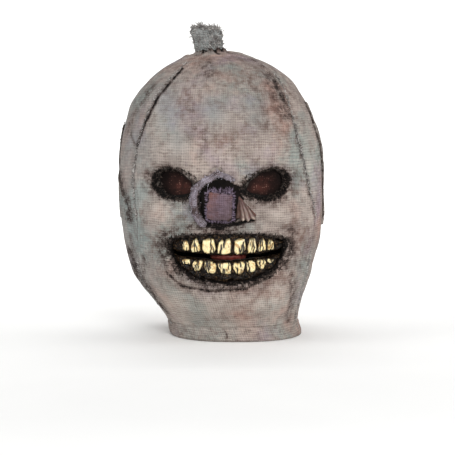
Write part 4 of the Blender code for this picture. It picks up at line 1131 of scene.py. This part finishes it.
def tooth(name, box, upper, seed, body):
    """One tooth.

    Rings of a squared circle laid on the face, from the middle of the front out to the rim and back to the
    middle behind. The rim is drawn in by soft random waves and by one or two chips, bells of the turn. The
    front bulges as the root of one less the ring's fourth power and has grooves whose depth is a bell of the
    distance across.
    """
    own = np.random.default_rng(seed)
    rings, back_rings, spokes = 22, 6, 84
    share = np.concatenate([np.linspace(0.0, 1.0, rings), np.linspace(1.0, 0.0, back_rings)])[:, None]
    behind = np.concatenate([np.zeros(rings, bool), np.ones(back_rings, bool)])[:, None]
    turn = np.linspace(0.0, 2 * math.pi, spokes + 1)[None, :-1]
    c, s = np.cos(turn), np.sin(turn)
    waves = 1.0 + 0.05 * np.cos(3 * turn + own.uniform(0, 6)) + 0.035 * np.cos(7 * turn + own.uniform(0, 6))
    biting_turn = -math.pi / 2 if upper else math.pi / 2
    for _ in range(int(own.integers(1, 3))):
        at = biting_turn + own.uniform(-0.75, 0.75)
        away = np.abs((turn - at + math.pi) % (2 * math.pi) - math.pi)
        waves = waves - own.uniform(0.12, 0.34) * np.exp(-((away / own.uniform(0.10, 0.20)) ** 2))
    square = own.uniform(0.42, 0.58)
    u = share * waves * np.sign(c) * np.abs(c) ** square
    v = share * waves * np.sign(s) * np.abs(s) ** square
    wide, high = (box[1][0] - box[0][0]) / 2, (box[1][2] - box[0][2]) / 2
    towards_root = v if upper else -v
    narrowing = own.uniform(0.12, 0.42)
    taper = 1.0 - narrowing * smooth((towards_root + 0.3) / 1.3)
    lean = own.uniform(-0.12, 0.12)
    x = (box[0][0] + box[1][0]) / 2 + wide * (u * taper + lean * v) * 1.06
    z = (box[0][2] + box[1][2]) / 2 + high * (v + 0.14 * own.uniform(-1, 1) * u) * 1.05
    crack = np.zeros_like(u)
    for _ in range(int(own.integers(3, 6))):
        at, sway = own.uniform(-0.75, 0.75), own.uniform(-0.30, 0.30)
        reach = smooth((v * own.choice([-1.0, 1.0]) + own.uniform(0.0, 0.8)) / 0.4)
        width = own.uniform(0.07, 0.15)
        crack = np.maximum(
            crack, np.exp(-(((u - at - sway * v + 0.05 * np.sin(v * 7 + at)) / width) ** 2)) * reach
        )
    hollow = own.uniform(0, 1) * (0.3 if upper else 0.9)
    pit = (
        hollow
        * np.exp(-(((u - own.uniform(-0.4, 0.4)) / 0.32) ** 2) - ((v - own.uniform(-0.4, 0.4)) / 0.26) ** 2)
    )
    bulge = np.sqrt(np.clip(1.0 - share**4, 0, 1)) * (0.0036 + 0.0007 * own.uniform(-1, 1))
    offset = -0.0030 + np.where(behind, 0.0, bulge - 0.0009 * crack - 0.0008 * pit)
    # Each tooth darkens round its whole outline, joined to the brown wash at its root.
    rim_dark = 0.9 * smooth((share - 0.84) / 0.14)
    root_and_outline_dark = np.maximum(0.8 * smooth((towards_root - 0.55) / 0.45), rim_dark)
    paints = {"Crack": np.clip(np.maximum(1.5 * crack, 0.9 * pit), 0, 1), "Root": np.clip(root_and_outline_dark, 0, 1)}
    piece = put(
        f"{name}_crown", front(x, z, offset), cells(len(share), spokes, around=True), tooth_resin, None,
        paints, 2e-6, True,
    )
    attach(piece, body)
    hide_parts(name)


for number in range(1, 9):
    tooth(f"upper_tooth_{number}", tooth_boxes[f"upper_tooth_{number}"], True, 200 + number, "head")
    tooth(f"lower_tooth_{number}", tooth_boxes[f"lower_tooth_{number}"], False, 300 + number, "jaw")

# The tongue. A small pad of dull red latex behind the slit, damp with varnish.
tongue_latex, tree, shader, place = finish_of("cast_latex_dull_red")
mottle = node(tree, "TexNoise", place, 300.0, 4.0)
red = washed(tree, "#7c2f2a", (mottle, 0.35, 0.65, 1.0, "#ad5a50"))
surface(tree, shader, red, 0.38, mottle, Subsurface_Weight=0.1)
low, high = np.array(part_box("tongue"))
centre, half = (low + high) / 2, (high - low) / 2
polar, turn = np.meshgrid(np.linspace(0, math.pi, 32), np.linspace(0, 2 * math.pi, 57)[:-1], indexing="ij")
# An ellipsoid with a furrow down its middle and soft random lumps.
furrow = 1.0 - 0.18 * np.exp(-((np.cos(turn) / 0.10) ** 2))
points = np.stack(
    [
        np.sin(polar) * np.cos(turn) * half[0], -np.sin(polar) * np.sin(turn) * half[1],
        np.cos(polar) * half[2] * furrow,
    ],
    axis=-1,
)
points = points * (1 + 0.03 * patchy(turn, polar, 0.3, 111))[..., None] + centre
tongue = put("tongue_pad", points, cells(32, 56, around=True), tongue_latex, None, None, 2e-6, True)
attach(tongue, "jaw")
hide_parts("tongue")

# Threads. Dull cotton: short stitches half sunk in the two crown seams and the ridge under the mouth, and
# loose ends wherever the gauze is torn.


def cotton(name, mottle_scale, detail, low, high, dark, light, rough, gloss):
    """Dull cotton whose strands change between two colours: soft noise of that scale, from low to high."""
    made, tree, shader, place = finish_of(name)
    twist = node(tree, "TexNoise", place, mottle_scale, detail)
    surface(tree, shader, washed(tree, dark, (twist, low, high, 1.0, light)), rough, Specular_IOR_Level=gloss)
    return made


thread_cotton = cotton("waxed_cotton_thread_dark", 500.0, 2.0, 0.35, 0.65, "#332a26", "#6a5f58", 0.9, 0.2)
fray_cotton = cotton("frayed_cotton_grey", 300.0, 3.0, 0.38, 0.62, "#575351", "#b0aca8", 0.95, 0.2)


def strands(name, paths, radius, finish, body, node_names=(), sides=4):
    """Many fine threads in one mesh.

    Each is a path of points with a four-sided ring at each, drawn on two ways square to the run from cross
    products; the radius swells as a half sine along the thread, and a face closes each tip.
    """
    n, k, _ = paths.shape
    run = np.gradient(paths, axis=1)
    run /= np.linalg.norm(run, axis=-1, keepdims=True) + 1e-12
    guide = np.where(np.abs(run[..., 2:3]) > 0.9, (1.0, 0.0, 0.0), (0.0, 0.0, 1.0))
    side = np.cross(run, guide)
    side /= np.linalg.norm(side, axis=-1, keepdims=True) + 1e-12
    out = np.cross(run, side)
    turn = np.linspace(0, 2 * math.pi, sides + 1)[:-1]
    swell = np.maximum(np.sin(np.linspace(0.0, 1.0, k) * math.pi) ** 0.35, 0.05)[None, :, None, None]
    ring = (
        side[:, :, None, :] * np.cos(turn)[None, None, :, None]
        + out[:, :, None, :] * np.sin(turn)[None, None, :, None]
    )
    points = (paths[:, :, None, :] + ring * radius * swell).reshape(-1, 3)
    base = (np.arange(n) * k * sides)[:, None, None]
    quads = (cells(k, sides, around=True)[None, :, ::-1] + base).reshape(-1, 4)
    tips = np.array([np.arange(sides), (k - 1) * sides + np.arange(sides)[::-1]])
    piece = put(name, points, np.concatenate([quads, (tips[None] + base).reshape(-1, 4)]), finish, turn=True)
    stretch(piece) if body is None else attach(piece, body)
    if node_names:
        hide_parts(*node_names)
    return piece


def stitches(azimuth_of, low, high, pitch, length, slope, lift):
    """Sunk stitches along a seam, each a short arch of seven points whose lift is half a sine."""
    count = int((high - low) / pitch)
    z0 = low + (np.arange(count) + 0.5) * pitch + dice.normal(0, pitch * 0.12, count)
    z0 = z0[dice.uniform(0, 1, count) > 0.18]
    t = np.linspace(-0.5, 0.5, 7)[None, :]
    z = z0[:, None] + t * length * math.cos(slope)
    azimuth = azimuth_of(z) + t * length * math.sin(slope) / 0.095 + dice.normal(0, 0.006, len(z0))[:, None]
    return skin(azimuth, level_of(z), lift * np.cos(t * math.pi) + 0.0010)


left_line = stitches(lambda z: left_seam(z) - 0.010, 0.120, 0.262, 0.0052, 0.0030, 0.9, 0.0007)
strands("left_seam_stitches", left_line, 0.00036, thread_cotton, "head", ("seam_thread_left",))
right_line = stitches(lambda z: right_seam(z) + 0.010, 0.130, 0.268, 0.0056, 0.0030, -0.9, 0.0007)
strands("right_seam_stitches", right_line, 0.00036, thread_cotton, "head", ("seam_thread_right",))
LIP_STITCHES = 34
lip_u = np.linspace(-0.97, 0.72, LIP_STITCHES)
lip_x = MOUTH[0] + MOUTH[2] * lip_u
lip_z = MOUTH[1] - MOUTH[4] * (1 - lip_u**2) ** 0.5 - 0.0072 + dice.normal(0, 0.0008, LIP_STITCHES)
t = np.linspace(-0.5, 0.5, 7)[None, :]
tilt = dice.normal(0.9, 0.6, LIP_STITCHES)[:, None]
stitch_x = lip_x[:, None] + t * 0.0034 * np.cos(tilt)
stitch_z = lip_z[:, None] + t * 0.0034 * np.sin(tilt)
strands(
    "lip_stitches", front(stitch_x, stitch_z, 0.0012 + 0.0008 * np.cos(t * math.pi)), 0.00036, thread_cotton,
    "jaw", ("lip_thread",),
)


def loose(azimuth, z, count, length, way, seed, lift=0.0008, spray=0.5):
    """Loose thread ends: each curls as a parabola from the cloth towards a random way near the given one."""
    own = np.random.default_rng(seed)
    pick = own.uniform(0, len(azimuth) - 1.001, count)
    a = np.interp(pick, np.arange(len(azimuth)), azimuth) + own.normal(0, 0.006, count)
    h = np.interp(pick, np.arange(len(z)), z) + own.normal(0, 0.0006, count)
    heading = way + own.normal(0, spray, count)
    long = length * own.uniform(0.45, 1.25, count)
    t = np.linspace(0.0, 1.0, 6)[None, :]
    bend = own.normal(0, 0.7, count)[:, None] * t
    da = np.cos(heading[:, None] + bend) * long[:, None] * t / 0.095
    dz = np.sin(heading[:, None] + bend) * long[:, None] * t
    rise = lift + own.uniform(0.0002, 0.45, count)[:, None] * long[:, None] * t**1.5
    return skin(a[:, None] + da, level_of(np.clip(h[:, None] + dz, 0.0005, 0.276)), rise)


seam_span = np.linspace(0.118, 0.268, 40)
fringe = np.concatenate(
    [
        loose(left_seam(seam_span), seam_span, 260, 0.0036, math.pi, 121),
        loose(right_seam(seam_span), seam_span, 240, 0.0036, 0.0, 122),
    ]
)
strands("crown_seam_fray", fringe, 0.00026, fray_cotton, "head")
low_span = np.linspace(0.012, 0.085, 30)
low_fringe = np.concatenate(
    [
        loose(left_seam(low_span), low_span, 150, 0.0040, math.pi, 124),
        loose(right_seam(low_span), low_span, 130, 0.0040, 0.0, 125),
    ]
)
strands("neck_seam_fray", low_fringe, 0.00026, fray_cotton, None)

# The blackened fray. Short cut ends of the gauze round the eye holes and the mouth, soaked in the black
# paint that was stippled there.
black_fray = cotton("frayed_cotton_blackened", 390.0, 3.0, 0.40, 0.66, "#0b0807", "#4f453f", 0.95, 0.1)
own = np.random.default_rng(129)
EYE_ENDS = 520
MOUTH_ENDS = 700
at = own.uniform(0, 2 * math.pi, EYE_ENDS)
side = np.where(np.arange(EYE_ENDS) % 2, 1, -1)
far = own.uniform(0.98, 1.36, EYE_ENDS)
slope = np.radians(side * EYE[4])
p, q = EYE[2] * far * np.cos(at), EYE[3] * far * (1.05 - 0.12 * np.sin(at)) * np.sin(at)
eye_x, eye_z = (
    side * EYE[0] + EYE_SHIFT + p * np.cos(slope) - q * np.sin(slope),
    EYE[1] + p * np.sin(slope) + q * np.cos(slope),
)
lip_at = own.uniform(0, 2 * math.pi, MOUTH_ENDS)
far = own.uniform(1.0, 1.13, MOUTH_ENDS)
mouth_x = MOUTH[0] + MOUTH[2] * far * np.sign(np.cos(lip_at)) * np.abs(np.cos(lip_at)) ** 0.85
mouth_z = (
    MOUTH[1]
    + np.where(np.sin(lip_at) > 0, MOUTH[3], MOUTH[4]) * far * np.sign(np.sin(lip_at))
    * np.abs(np.sin(lip_at)) ** 0.85
)
sx, sz = np.concatenate([eye_x, mouth_x]), np.concatenate([eye_z, mouth_z])
heading = np.concatenate([at, lip_at]) + own.normal(0, 0.9, len(sx))
long = 0.0026 * own.uniform(0.4, 1.3, len(sx))
t = np.linspace(-0.2, 1.0, 6)[None, :]
bend = heading[:, None] + own.normal(0, 0.7, len(sx))[:, None] * t
fx, fz = sx[:, None] + np.cos(bend) * long[:, None] * t, sz[:, None] + np.sin(bend) * long[:, None] * t
rise = 0.0008 + 0.35 * own.uniform(0, 1, len(sx))[:, None] * long[:, None] * np.clip(t, 0, 1)
strands("eye_and_mouth_fray", front(fx, fz, rise), 0.00027, black_fray, None)

# The fringes of the nose. Mauve threads combed out square to the patch's four edges, longest at the top, and
# lilac-white ones caught on the rim.
patch_fray = cotton("frayed_muslin_mauve", 430.0, 3.0, 0.35, 0.65, "#453842", "#776a7b", 0.95, 0.2)
own = np.random.default_rng(126)
PATCH_THREADS = 300
fringe_edge = own.integers(0, 4, PATCH_THREADS)
along = own.uniform(-0.97, 0.97, PATCH_THREADS)
edge_way = np.array([math.pi / 2, 0.0, -math.pi / 2, math.pi])[fringe_edge]
sx = PATCH[0] + PATCH[2] * np.choose(fringe_edge, [along, 0.97 + 0 * along, along, -0.97 + 0 * along])
sz = PATCH[1] + PATCH[3] * np.choose(fringe_edge, [0.97 + 0 * along, along, -0.97 + 0 * along, along])
heading = edge_way + own.normal(0, 0.30, PATCH_THREADS)
long = np.choose(fringe_edge, [0.0042, 0.0024, 0.0018, 0.0021]) * own.uniform(0.3, 1.4, PATCH_THREADS)
t = np.linspace(-0.35, 1.0, 6)[None, :]
fx = sx[:, None] + np.cos(heading)[:, None] * long[:, None] * t
fz = sz[:, None] + np.sin(heading)[:, None] * long[:, None] * t
rise = 0.0014 + 0.0010 * own.uniform(0, 1, PATCH_THREADS)[:, None] * t
fringe_paths = front(fx, fz, rise)
strands("nose_patch_fringe", fringe_paths, 0.00028, patch_fray, "head")
rim_fray = cotton("frayed_cotton_lilac", 330.0, 3.0, 0.38, 0.62, "#6d6570", "#c3bec8", 0.95, 0.2)
own = np.random.default_rng(127)
RIM_THREADS = 150
pick = own.integers(2, RIM_STEPS - 2, RIM_THREADS)
facet = own.integers(0, RIM_TURNS, RIM_THREADS)
root_point = tube_points[pick, facet]
middle_point = tube_points[pick].mean(axis=1)
outwards = root_point - middle_point
outwards /= np.linalg.norm(outwards, axis=1, keepdims=True)
outwards[:, 1] = -np.abs(outwards[:, 1])
t = np.linspace(-0.15, 1.0, 6)[None, :, None]
way = outwards * 0.7 + own.normal(0, 0.6, (RIM_THREADS, 3))
curl = own.normal(0, 0.5, (RIM_THREADS, 1, 3)) * t**2
rim_paths = (
    root_point[:, None, :]
    + (way[:, None, :] + curl) * t * (0.0018 * own.uniform(0.4, 1.3, RIM_THREADS))[:, None, None]
)
strands("nose_rim_fringe", rim_paths, 0.00024, rim_fray, "head")

# The ear patches. Two strips of darker gauze glued over the ears, torn along their front edges, where the
# fray has been blackened.
dark_gauze = gauze(
    "cotton_gauze_smoked", ("#7f7973", "#958e88", "#927767", "#747f7b", "#b0a9a1", "#463e39", "#7d7581"), 2.8,
    0.0007,
)


def ear_patch(name, tear, back_deg, low, high, node_name):
    """A patch on the side of the head between a torn front line and a straight back one.

    Its lift is steady, with soft folds, a doubled strip along the tear, and a dip to the cloth on all four
    sides.
    """
    share = np.linspace(0.0, 1.0, 110)[None, :]
    z = np.linspace(low, high, 150)[:, None] + 0 * share
    z = z + lumpy(share * 0.08 + 1, z, (0.0035, 0.016, 137), (0.0010, 0.004, 138))
    torn = np.radians(np.interp(z, tear[0], tear[1]))
    torn = torn + lumpy(z + 1, z * 0, (0.030, 0.008, 131), (0.016, 0.002, 132))
    azimuth = torn + (math.radians(back_deg) - torn) * share
    gap = np.abs(azimuth - torn) * 0.1
    end = np.minimum(z - low, high - z) + 0.0008 * patchy(azimuth * 0.1 + 2, z, 0.003, 135)
    folds = 0.0005 * patchy(azimuth * 0.1 + 2, z, 0.012, 133)
    lift = 0.0017 + folds + 0.0006 * smooth((0.0045 - gap) / 0.002)
    lift = lift * smooth(share / 0.012) * smooth((1 - share) / 0.012) * smooth(end / 0.0010) + 0.0002
    points = skin(azimuth, level_of(z), lift)
    paints = stains_and_shade(points)
    speckle = patchy(azimuth * 0.1 + 2, z, 0.0030, 134)
    edge = 0.50 * smooth((0.0030 - gap) / 0.0030) * (0.60 + 0.9 * speckle)
    edge = np.maximum(edge, 0.25 * smooth((0.003 - end) / 0.003))
    paints["Soot_and_shade"] = np.clip(np.maximum(edge, 0.10 + 0.2 * speckle * smooth((0.012 - gap) / 0.012)), 0, 1)
    piece = put(name, points, cells(150, 110), dark_gauze, cloth_map(azimuth, level_of(z)), paints)
    body = bmesh.new()
    body.from_mesh(piece.data)
    outwards = sum(f.normal.x * f.calc_center_median().x for f in body.faces)
    if outwards < 0:
        bmesh.ops.reverse_faces(body, faces=body.faces)
        body.to_mesh(piece.data)
    body.free()
    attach(piece, "head")
    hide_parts(node_name)
    return piece


left_tear = (
    (0.112, 0.130, 0.140, 0.150, 0.165, 0.185, 0.210), (-60.0, -60.0, -64.0, -69.0, -77.0, -82.0, -83.0)
)
right_tear = ((0.105, 0.130, 0.150, 0.170, 0.200, 0.235), (86.0, 85.0, 84.0, 79.0, 71.0, 72.0))
ear_patch("ear_patch_left_cloth", left_tear, -114.0, 0.116, 0.208, "ear_patch_left")
ear_patch("ear_patch_right_cloth", right_tear, 114.0, 0.108, 0.230, "ear_patch_right")
left_z, right_z = np.linspace(0.117, 0.207, 30), np.linspace(0.109, 0.229, 30)
ear_fray = np.concatenate(
    [
        loose(np.radians(np.interp(left_z, *left_tear)), left_z, 330, 0.0034, 0.4, 135, 0.0014, 1.0),
        loose(
            np.radians(np.interp(right_z, *right_tear)), right_z, 300, 0.0034, math.pi - 0.4, 136, 0.0014, 1.0
        ),
    ]
)
strands("ear_patch_fray", ear_fray, 0.00026, thread_cotton, "head")

# The crown tuft. The gathered ends of the sack, bunched, tied and cut off square. The loops of the gauze
# stand out all over it, and the top is a brush of thread ends.
tuft_gauze = gauze(
    "cotton_gauze_bunched", ("#7a7b7a", "#939492", "#7f7b77", "#757a78", "#bdbdba", "#34312f", "#86868a"),
    2.0, 0.0012,
)
low, high = np.array(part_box("crown_tuft"))
foot_x, foot_z, top_z = -0.0092, low[2] - 0.003, high[2] - 0.0022
TUFT_LEAN = -0.0050
TUFT_SPOKES = 192


def tuft_side(turn, t):
    """The tuft's side: a flattened circle, a little pinched at half height and fuller above.

    Shallow pleats and soft random lumps add to the radius, and the whole leans to one side with height.
    """
    radius = (
        0.0150 - 0.0012 * np.sin(np.clip(t * 1.3, 0, 1) * math.pi) + 0.0002 * smooth((t - 0.5) / 0.5)
        - 0.0016 * smooth((t - 0.88) / 0.12)
    )
    pleat = (
        0.0003 * np.cos(9 * turn + 1.4 * np.sin(3 * turn) + 1.6 * t)
        + 0.0010 * patchy(turn, t * 1.6, 0.30, 141)
    )
    pleat = pleat + 0.0008 * patchy(turn, t * 1.6, 0.13, 142)
    r = radius + pleat
    x = foot_x + r * np.cos(turn) + TUFT_LEAN * t
    y = 0.80 * r * np.sin(turn)
    z = foot_z + (top_z - foot_z) * t + 0.0014 * patchy(turn, t, 0.5, 143) * t
    return np.stack([x, y, z], axis=-1)


turn, t = np.meshgrid(np.linspace(0, 2 * math.pi, TUFT_SPOKES + 1)[:-1], np.linspace(0, 1, 80))
side_points = tuft_side(turn, t)
shrink = np.linspace(1.0, 0.0, 24)[1:, None]
rim = side_points[-1][None]
middle = rim.mean(axis=1, keepdims=True)
top_points = middle + (rim - middle) * shrink[..., None]
top_bumps = (
    0.0016 * patchy(top_points[..., 0] + 1, top_points[..., 1] + 1, 0.0028, 144)
    * np.minimum(1, (1 - shrink) * 6)
)
top_points[..., 2] += top_bumps + 0.0018 * np.sqrt(np.clip(1 - shrink**2, 0, 1))
points = np.concatenate([side_points, top_points])
# Darker over the lowest fifth of the tuft, with random dark patches.
foot_dark = 0.62 * smooth((0.20 - t) / 0.20) + 0.40 * np.clip(patchy(turn, t * 1.6, 0.22, 146) - 0.1, 0, 1)
soot_and_shade = np.concatenate([foot_dark, 0.15 + 0 * top_points[..., 0]])
uv = (
    np.stack(
        [np.concatenate([turn * 0.013, top_points[..., 0]]), np.concatenate([t * 0.026, top_points[..., 1]])],
        axis=-1,
    )
    + 1
)
tuft_paint = {"Soot_and_shade": soot_and_shade, "Rust": 0 * soot_and_shade, "Chill": 0 * soot_and_shade + 0.35}
tuft = put(
    "crown_tuft_stub", points, cells(len(points), TUFT_SPOKES, around=True), tuft_gauze, uv, tuft_paint, 2e-6,
    True,
)
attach(tuft, "head")
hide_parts("crown_tuft")
own = np.random.default_rng(145)
SIDE_LOOPS = 1100
TOP_ENDS = 520
a, h = own.uniform(0, 2 * math.pi, SIDE_LOOPS), own.uniform(0.05, 1, SIDE_LOOPS)
start = tuft_side(a, h)
axis = np.stack([foot_x + TUFT_LEAN * h, 0 * h, start[:, 2]], axis=-1)
out = start - axis
out /= np.linalg.norm(out, axis=1, keepdims=True)
tt = np.linspace(0.0, 1.0, 6)[None, :, None]
way = out * 0.6 + np.array([0, 0, 0.35]) + own.normal(0, 0.55, (SIDE_LOOPS, 3))
curl = own.normal(0, 0.6, (SIDE_LOOPS, 1, 3)) * tt**2 - 0.5 * out[:, None, :] * tt**2
long = 0.0019 * own.uniform(0.5, 1.2, SIDE_LOOPS)
loops = (
    start[:, None, :] - out[:, None, :] * 0.0005 + (way[:, None, :] * tt + curl * tt) * long[:, None, None]
)
a2 = own.uniform(0, 2 * math.pi, TOP_ENDS)
inside = own.uniform(0, 1, TOP_ENDS) ** 0.4
start2 = middle[0] + (tuft_side(a2, np.ones(TOP_ENDS)) - middle[0]) * inside[:, None]
start2[:, 2] += 0.0010 * (1 - inside)
lean_out = (start2 - middle[0]) / 0.014
way2 = np.array([-0.12, 0, 0.9]) + lean_out * 0.7 + own.normal(0, 0.50, (TOP_ENDS, 3))
curl2 = own.normal(0, 0.7, (TOP_ENDS, 1, 3)) * tt**2
ends = (
    start2[:, None, :]
    + (way2[:, None, :] * tt + curl2 * tt) * (0.0029 * own.uniform(0.35, 1.15, TOP_ENDS))[:, None, None]
)
strands(
    "crown_tuft_threads", np.concatenate([loops, ends]), 0.00038, fray_cotton, "head",
)

# The tuft's collar. Below the tie the gathers spread over the crown as a crumpled skirt that runs out flat,
# its lift a sum of waves round the tuft that die away with distance.
COLLAR_SPOKES = 256
turn, t = np.meshgrid(np.linspace(0, 2 * math.pi, COLLAR_SPOKES + 1)[:-1], np.linspace(0, 1, 48))
reach = 0.0130 + 0.0200 * t + 0.0040 * patchy(turn, t * 0 + 1, 0.30, 151) * t
collar_x = foot_x + reach * np.cos(turn) * (1.02 + 0.35 * t)
collar_y = 0.86 * reach * np.sin(turn)
dome_z = np.linspace(0.240, CROWN, 200)
dome_half = girths(dome_z)[0]
spot = (np.abs(collar_x) ** ROUNDNESS + np.abs(collar_y) ** ROUNDNESS) ** (1 / ROUNDNESS)
ground_z = np.interp(spot, dome_half[::-1], dome_z[::-1])
gathers = np.cos(11 * turn + 1.8 * np.sin(2 * turn + 0.7)) + 0.5 * np.cos(23 * turn + 2.0 * np.sin(3 * turn))
fold = (
    (0.0008 + 0.0009 * gathers + 0.0009 * patchy(turn, t, 0.22, 152)) * (1 - smooth((t - 0.45) / 0.55))
    + 0.0040 * (1 - smooth(t / 0.16)) + 0.0004
)
collar_points = np.stack(
    [collar_x, collar_y, ground_z + fold + 0.0007 - 0.0030 * smooth((t - 0.90) / 0.10)], axis=-1
)
# Painted shade in the troughs of the gathers and next to the tuft, over a steady darkening that fades further
# out.
collar_dark_and_shade = 0.22 + 0.40 * (gathers < -0.3) * (1 - t) + 0.55 * smooth((0.14 - t) / 0.14) - 0.25 * t
collar_paint = {
    "Soot_and_shade": np.clip(collar_dark_and_shade, 0, 1), "Rust": 0.25 * np.clip(patchy(turn, t, 0.6, 153), 0, 1),
    "Chill": 0.2 + 0 * t,
}
collar_uv = np.stack([collar_x + 1, collar_y + 1], axis=-1)
collar = put(
    "tuft_collar_gathers", collar_points, cells(48, COLLAR_SPOKES, around=True), sack_gauze, collar_uv,
    collar_paint,
)
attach(collar, "head")
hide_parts("tuft_collar")

# The studio: a pale seamless floor that sweeps up behind, one broad soft light in front, two weaker ones
# at the sides and one on the sweep, and a long lens a little above the middle of the mask.
floor_paint, tree, shader, place = finish_of("painted_studio_sweep")
grain = node(tree, "TexNoise", place, 6.0, 2.0)
surface(tree, shader, washed(tree, "#f0f0ef", (grain, 0.0, 1.0, 1.0, "#f6f6f5")), 0.9)
s, t = np.meshgrid(np.linspace(-4.0, 4.0, 40), np.linspace(0.0, 1.0, 60))
run = -3.0 + 7.5 * t
sweep_y = np.where(run < 2.0, run, 2.0 + 1.5 * np.sin(np.clip((run - 2.0) / 1.5, 0, math.pi / 2)))
sweep_z = np.where(
    run < 2.0, 0.0,
    1.5 * (1 - np.cos(np.clip((run - 2.0) / 1.5, 0, math.pi / 2)))
    + np.clip(run - 2.0 - 1.5 * math.pi / 2, 0, 9) * 1.6,
)
floor = put("studio_sweep", np.stack([s, sweep_y, sweep_z - 0.0004], axis=-1), cells(60, 40), floor_paint)

world = bpy.data.worlds.new("soft_white_room")
world.use_nodes = True
world.node_tree.nodes["Background"].inputs["Color"].default_value = (1.0, 1.0, 1.0, 1.0)
world.node_tree.nodes["Background"].inputs["Strength"].default_value = 0.37
bpy.context.scene.world = world
bpy.context.scene.view_settings.view_transform = "Standard"


def soft_light(name, place, aim, size, power):
    """A square soft box at a place, turned so that its face looks at the aim."""
    lamp = bpy.data.lights.new(name, "AREA")
    lamp.size = size
    lamp.energy = power
    light = bpy.data.objects.new(name, lamp)
    light.location = place
    light.rotation_euler = (Vector(aim) - Vector(place)).to_track_quat("-Z", "Y").to_euler()
    bpy.context.scene.collection.objects.link(light)


soft_light("front_softbox", (0.45, -1.9, 0.75), (0.0, 0.0, 0.12), 0.8, 31.0)
soft_light("left_softbox", (-1.6, -0.6, 0.8), (0.0, 0.0, 0.15), 0.9, 14.0)
soft_light("right_softbox", (1.6, -0.4, 0.9), (0.0, 0.0, 0.15), 0.9, 9.0)
soft_light("sweep_softbox", (0.0, 0.9, 1.9), (0.0, 3.2, 0.3), 1.6, 70.0)
DISTANCE = 1.6
VIEW_WIDTH = 0.455
RISE = math.radians(5.0)
AIM = Vector((0.0075, 0.0, 0.1047))
lens = bpy.data.cameras.new("long_lens")
lens.sensor_width = 36.0
lens.lens = lens.sensor_width * DISTANCE / VIEW_WIDTH
camera = bpy.data.objects.new("long_lens", lens)
camera.location = AIM + Vector((0.0, -DISTANCE * math.cos(RISE), DISTANCE * math.sin(RISE)))
camera.rotation_euler = (AIM - camera.location).to_track_quat("-Z", "Y").to_euler()
bpy.context.scene.collection.objects.link(camera)
bpy.context.scene.camera = camera
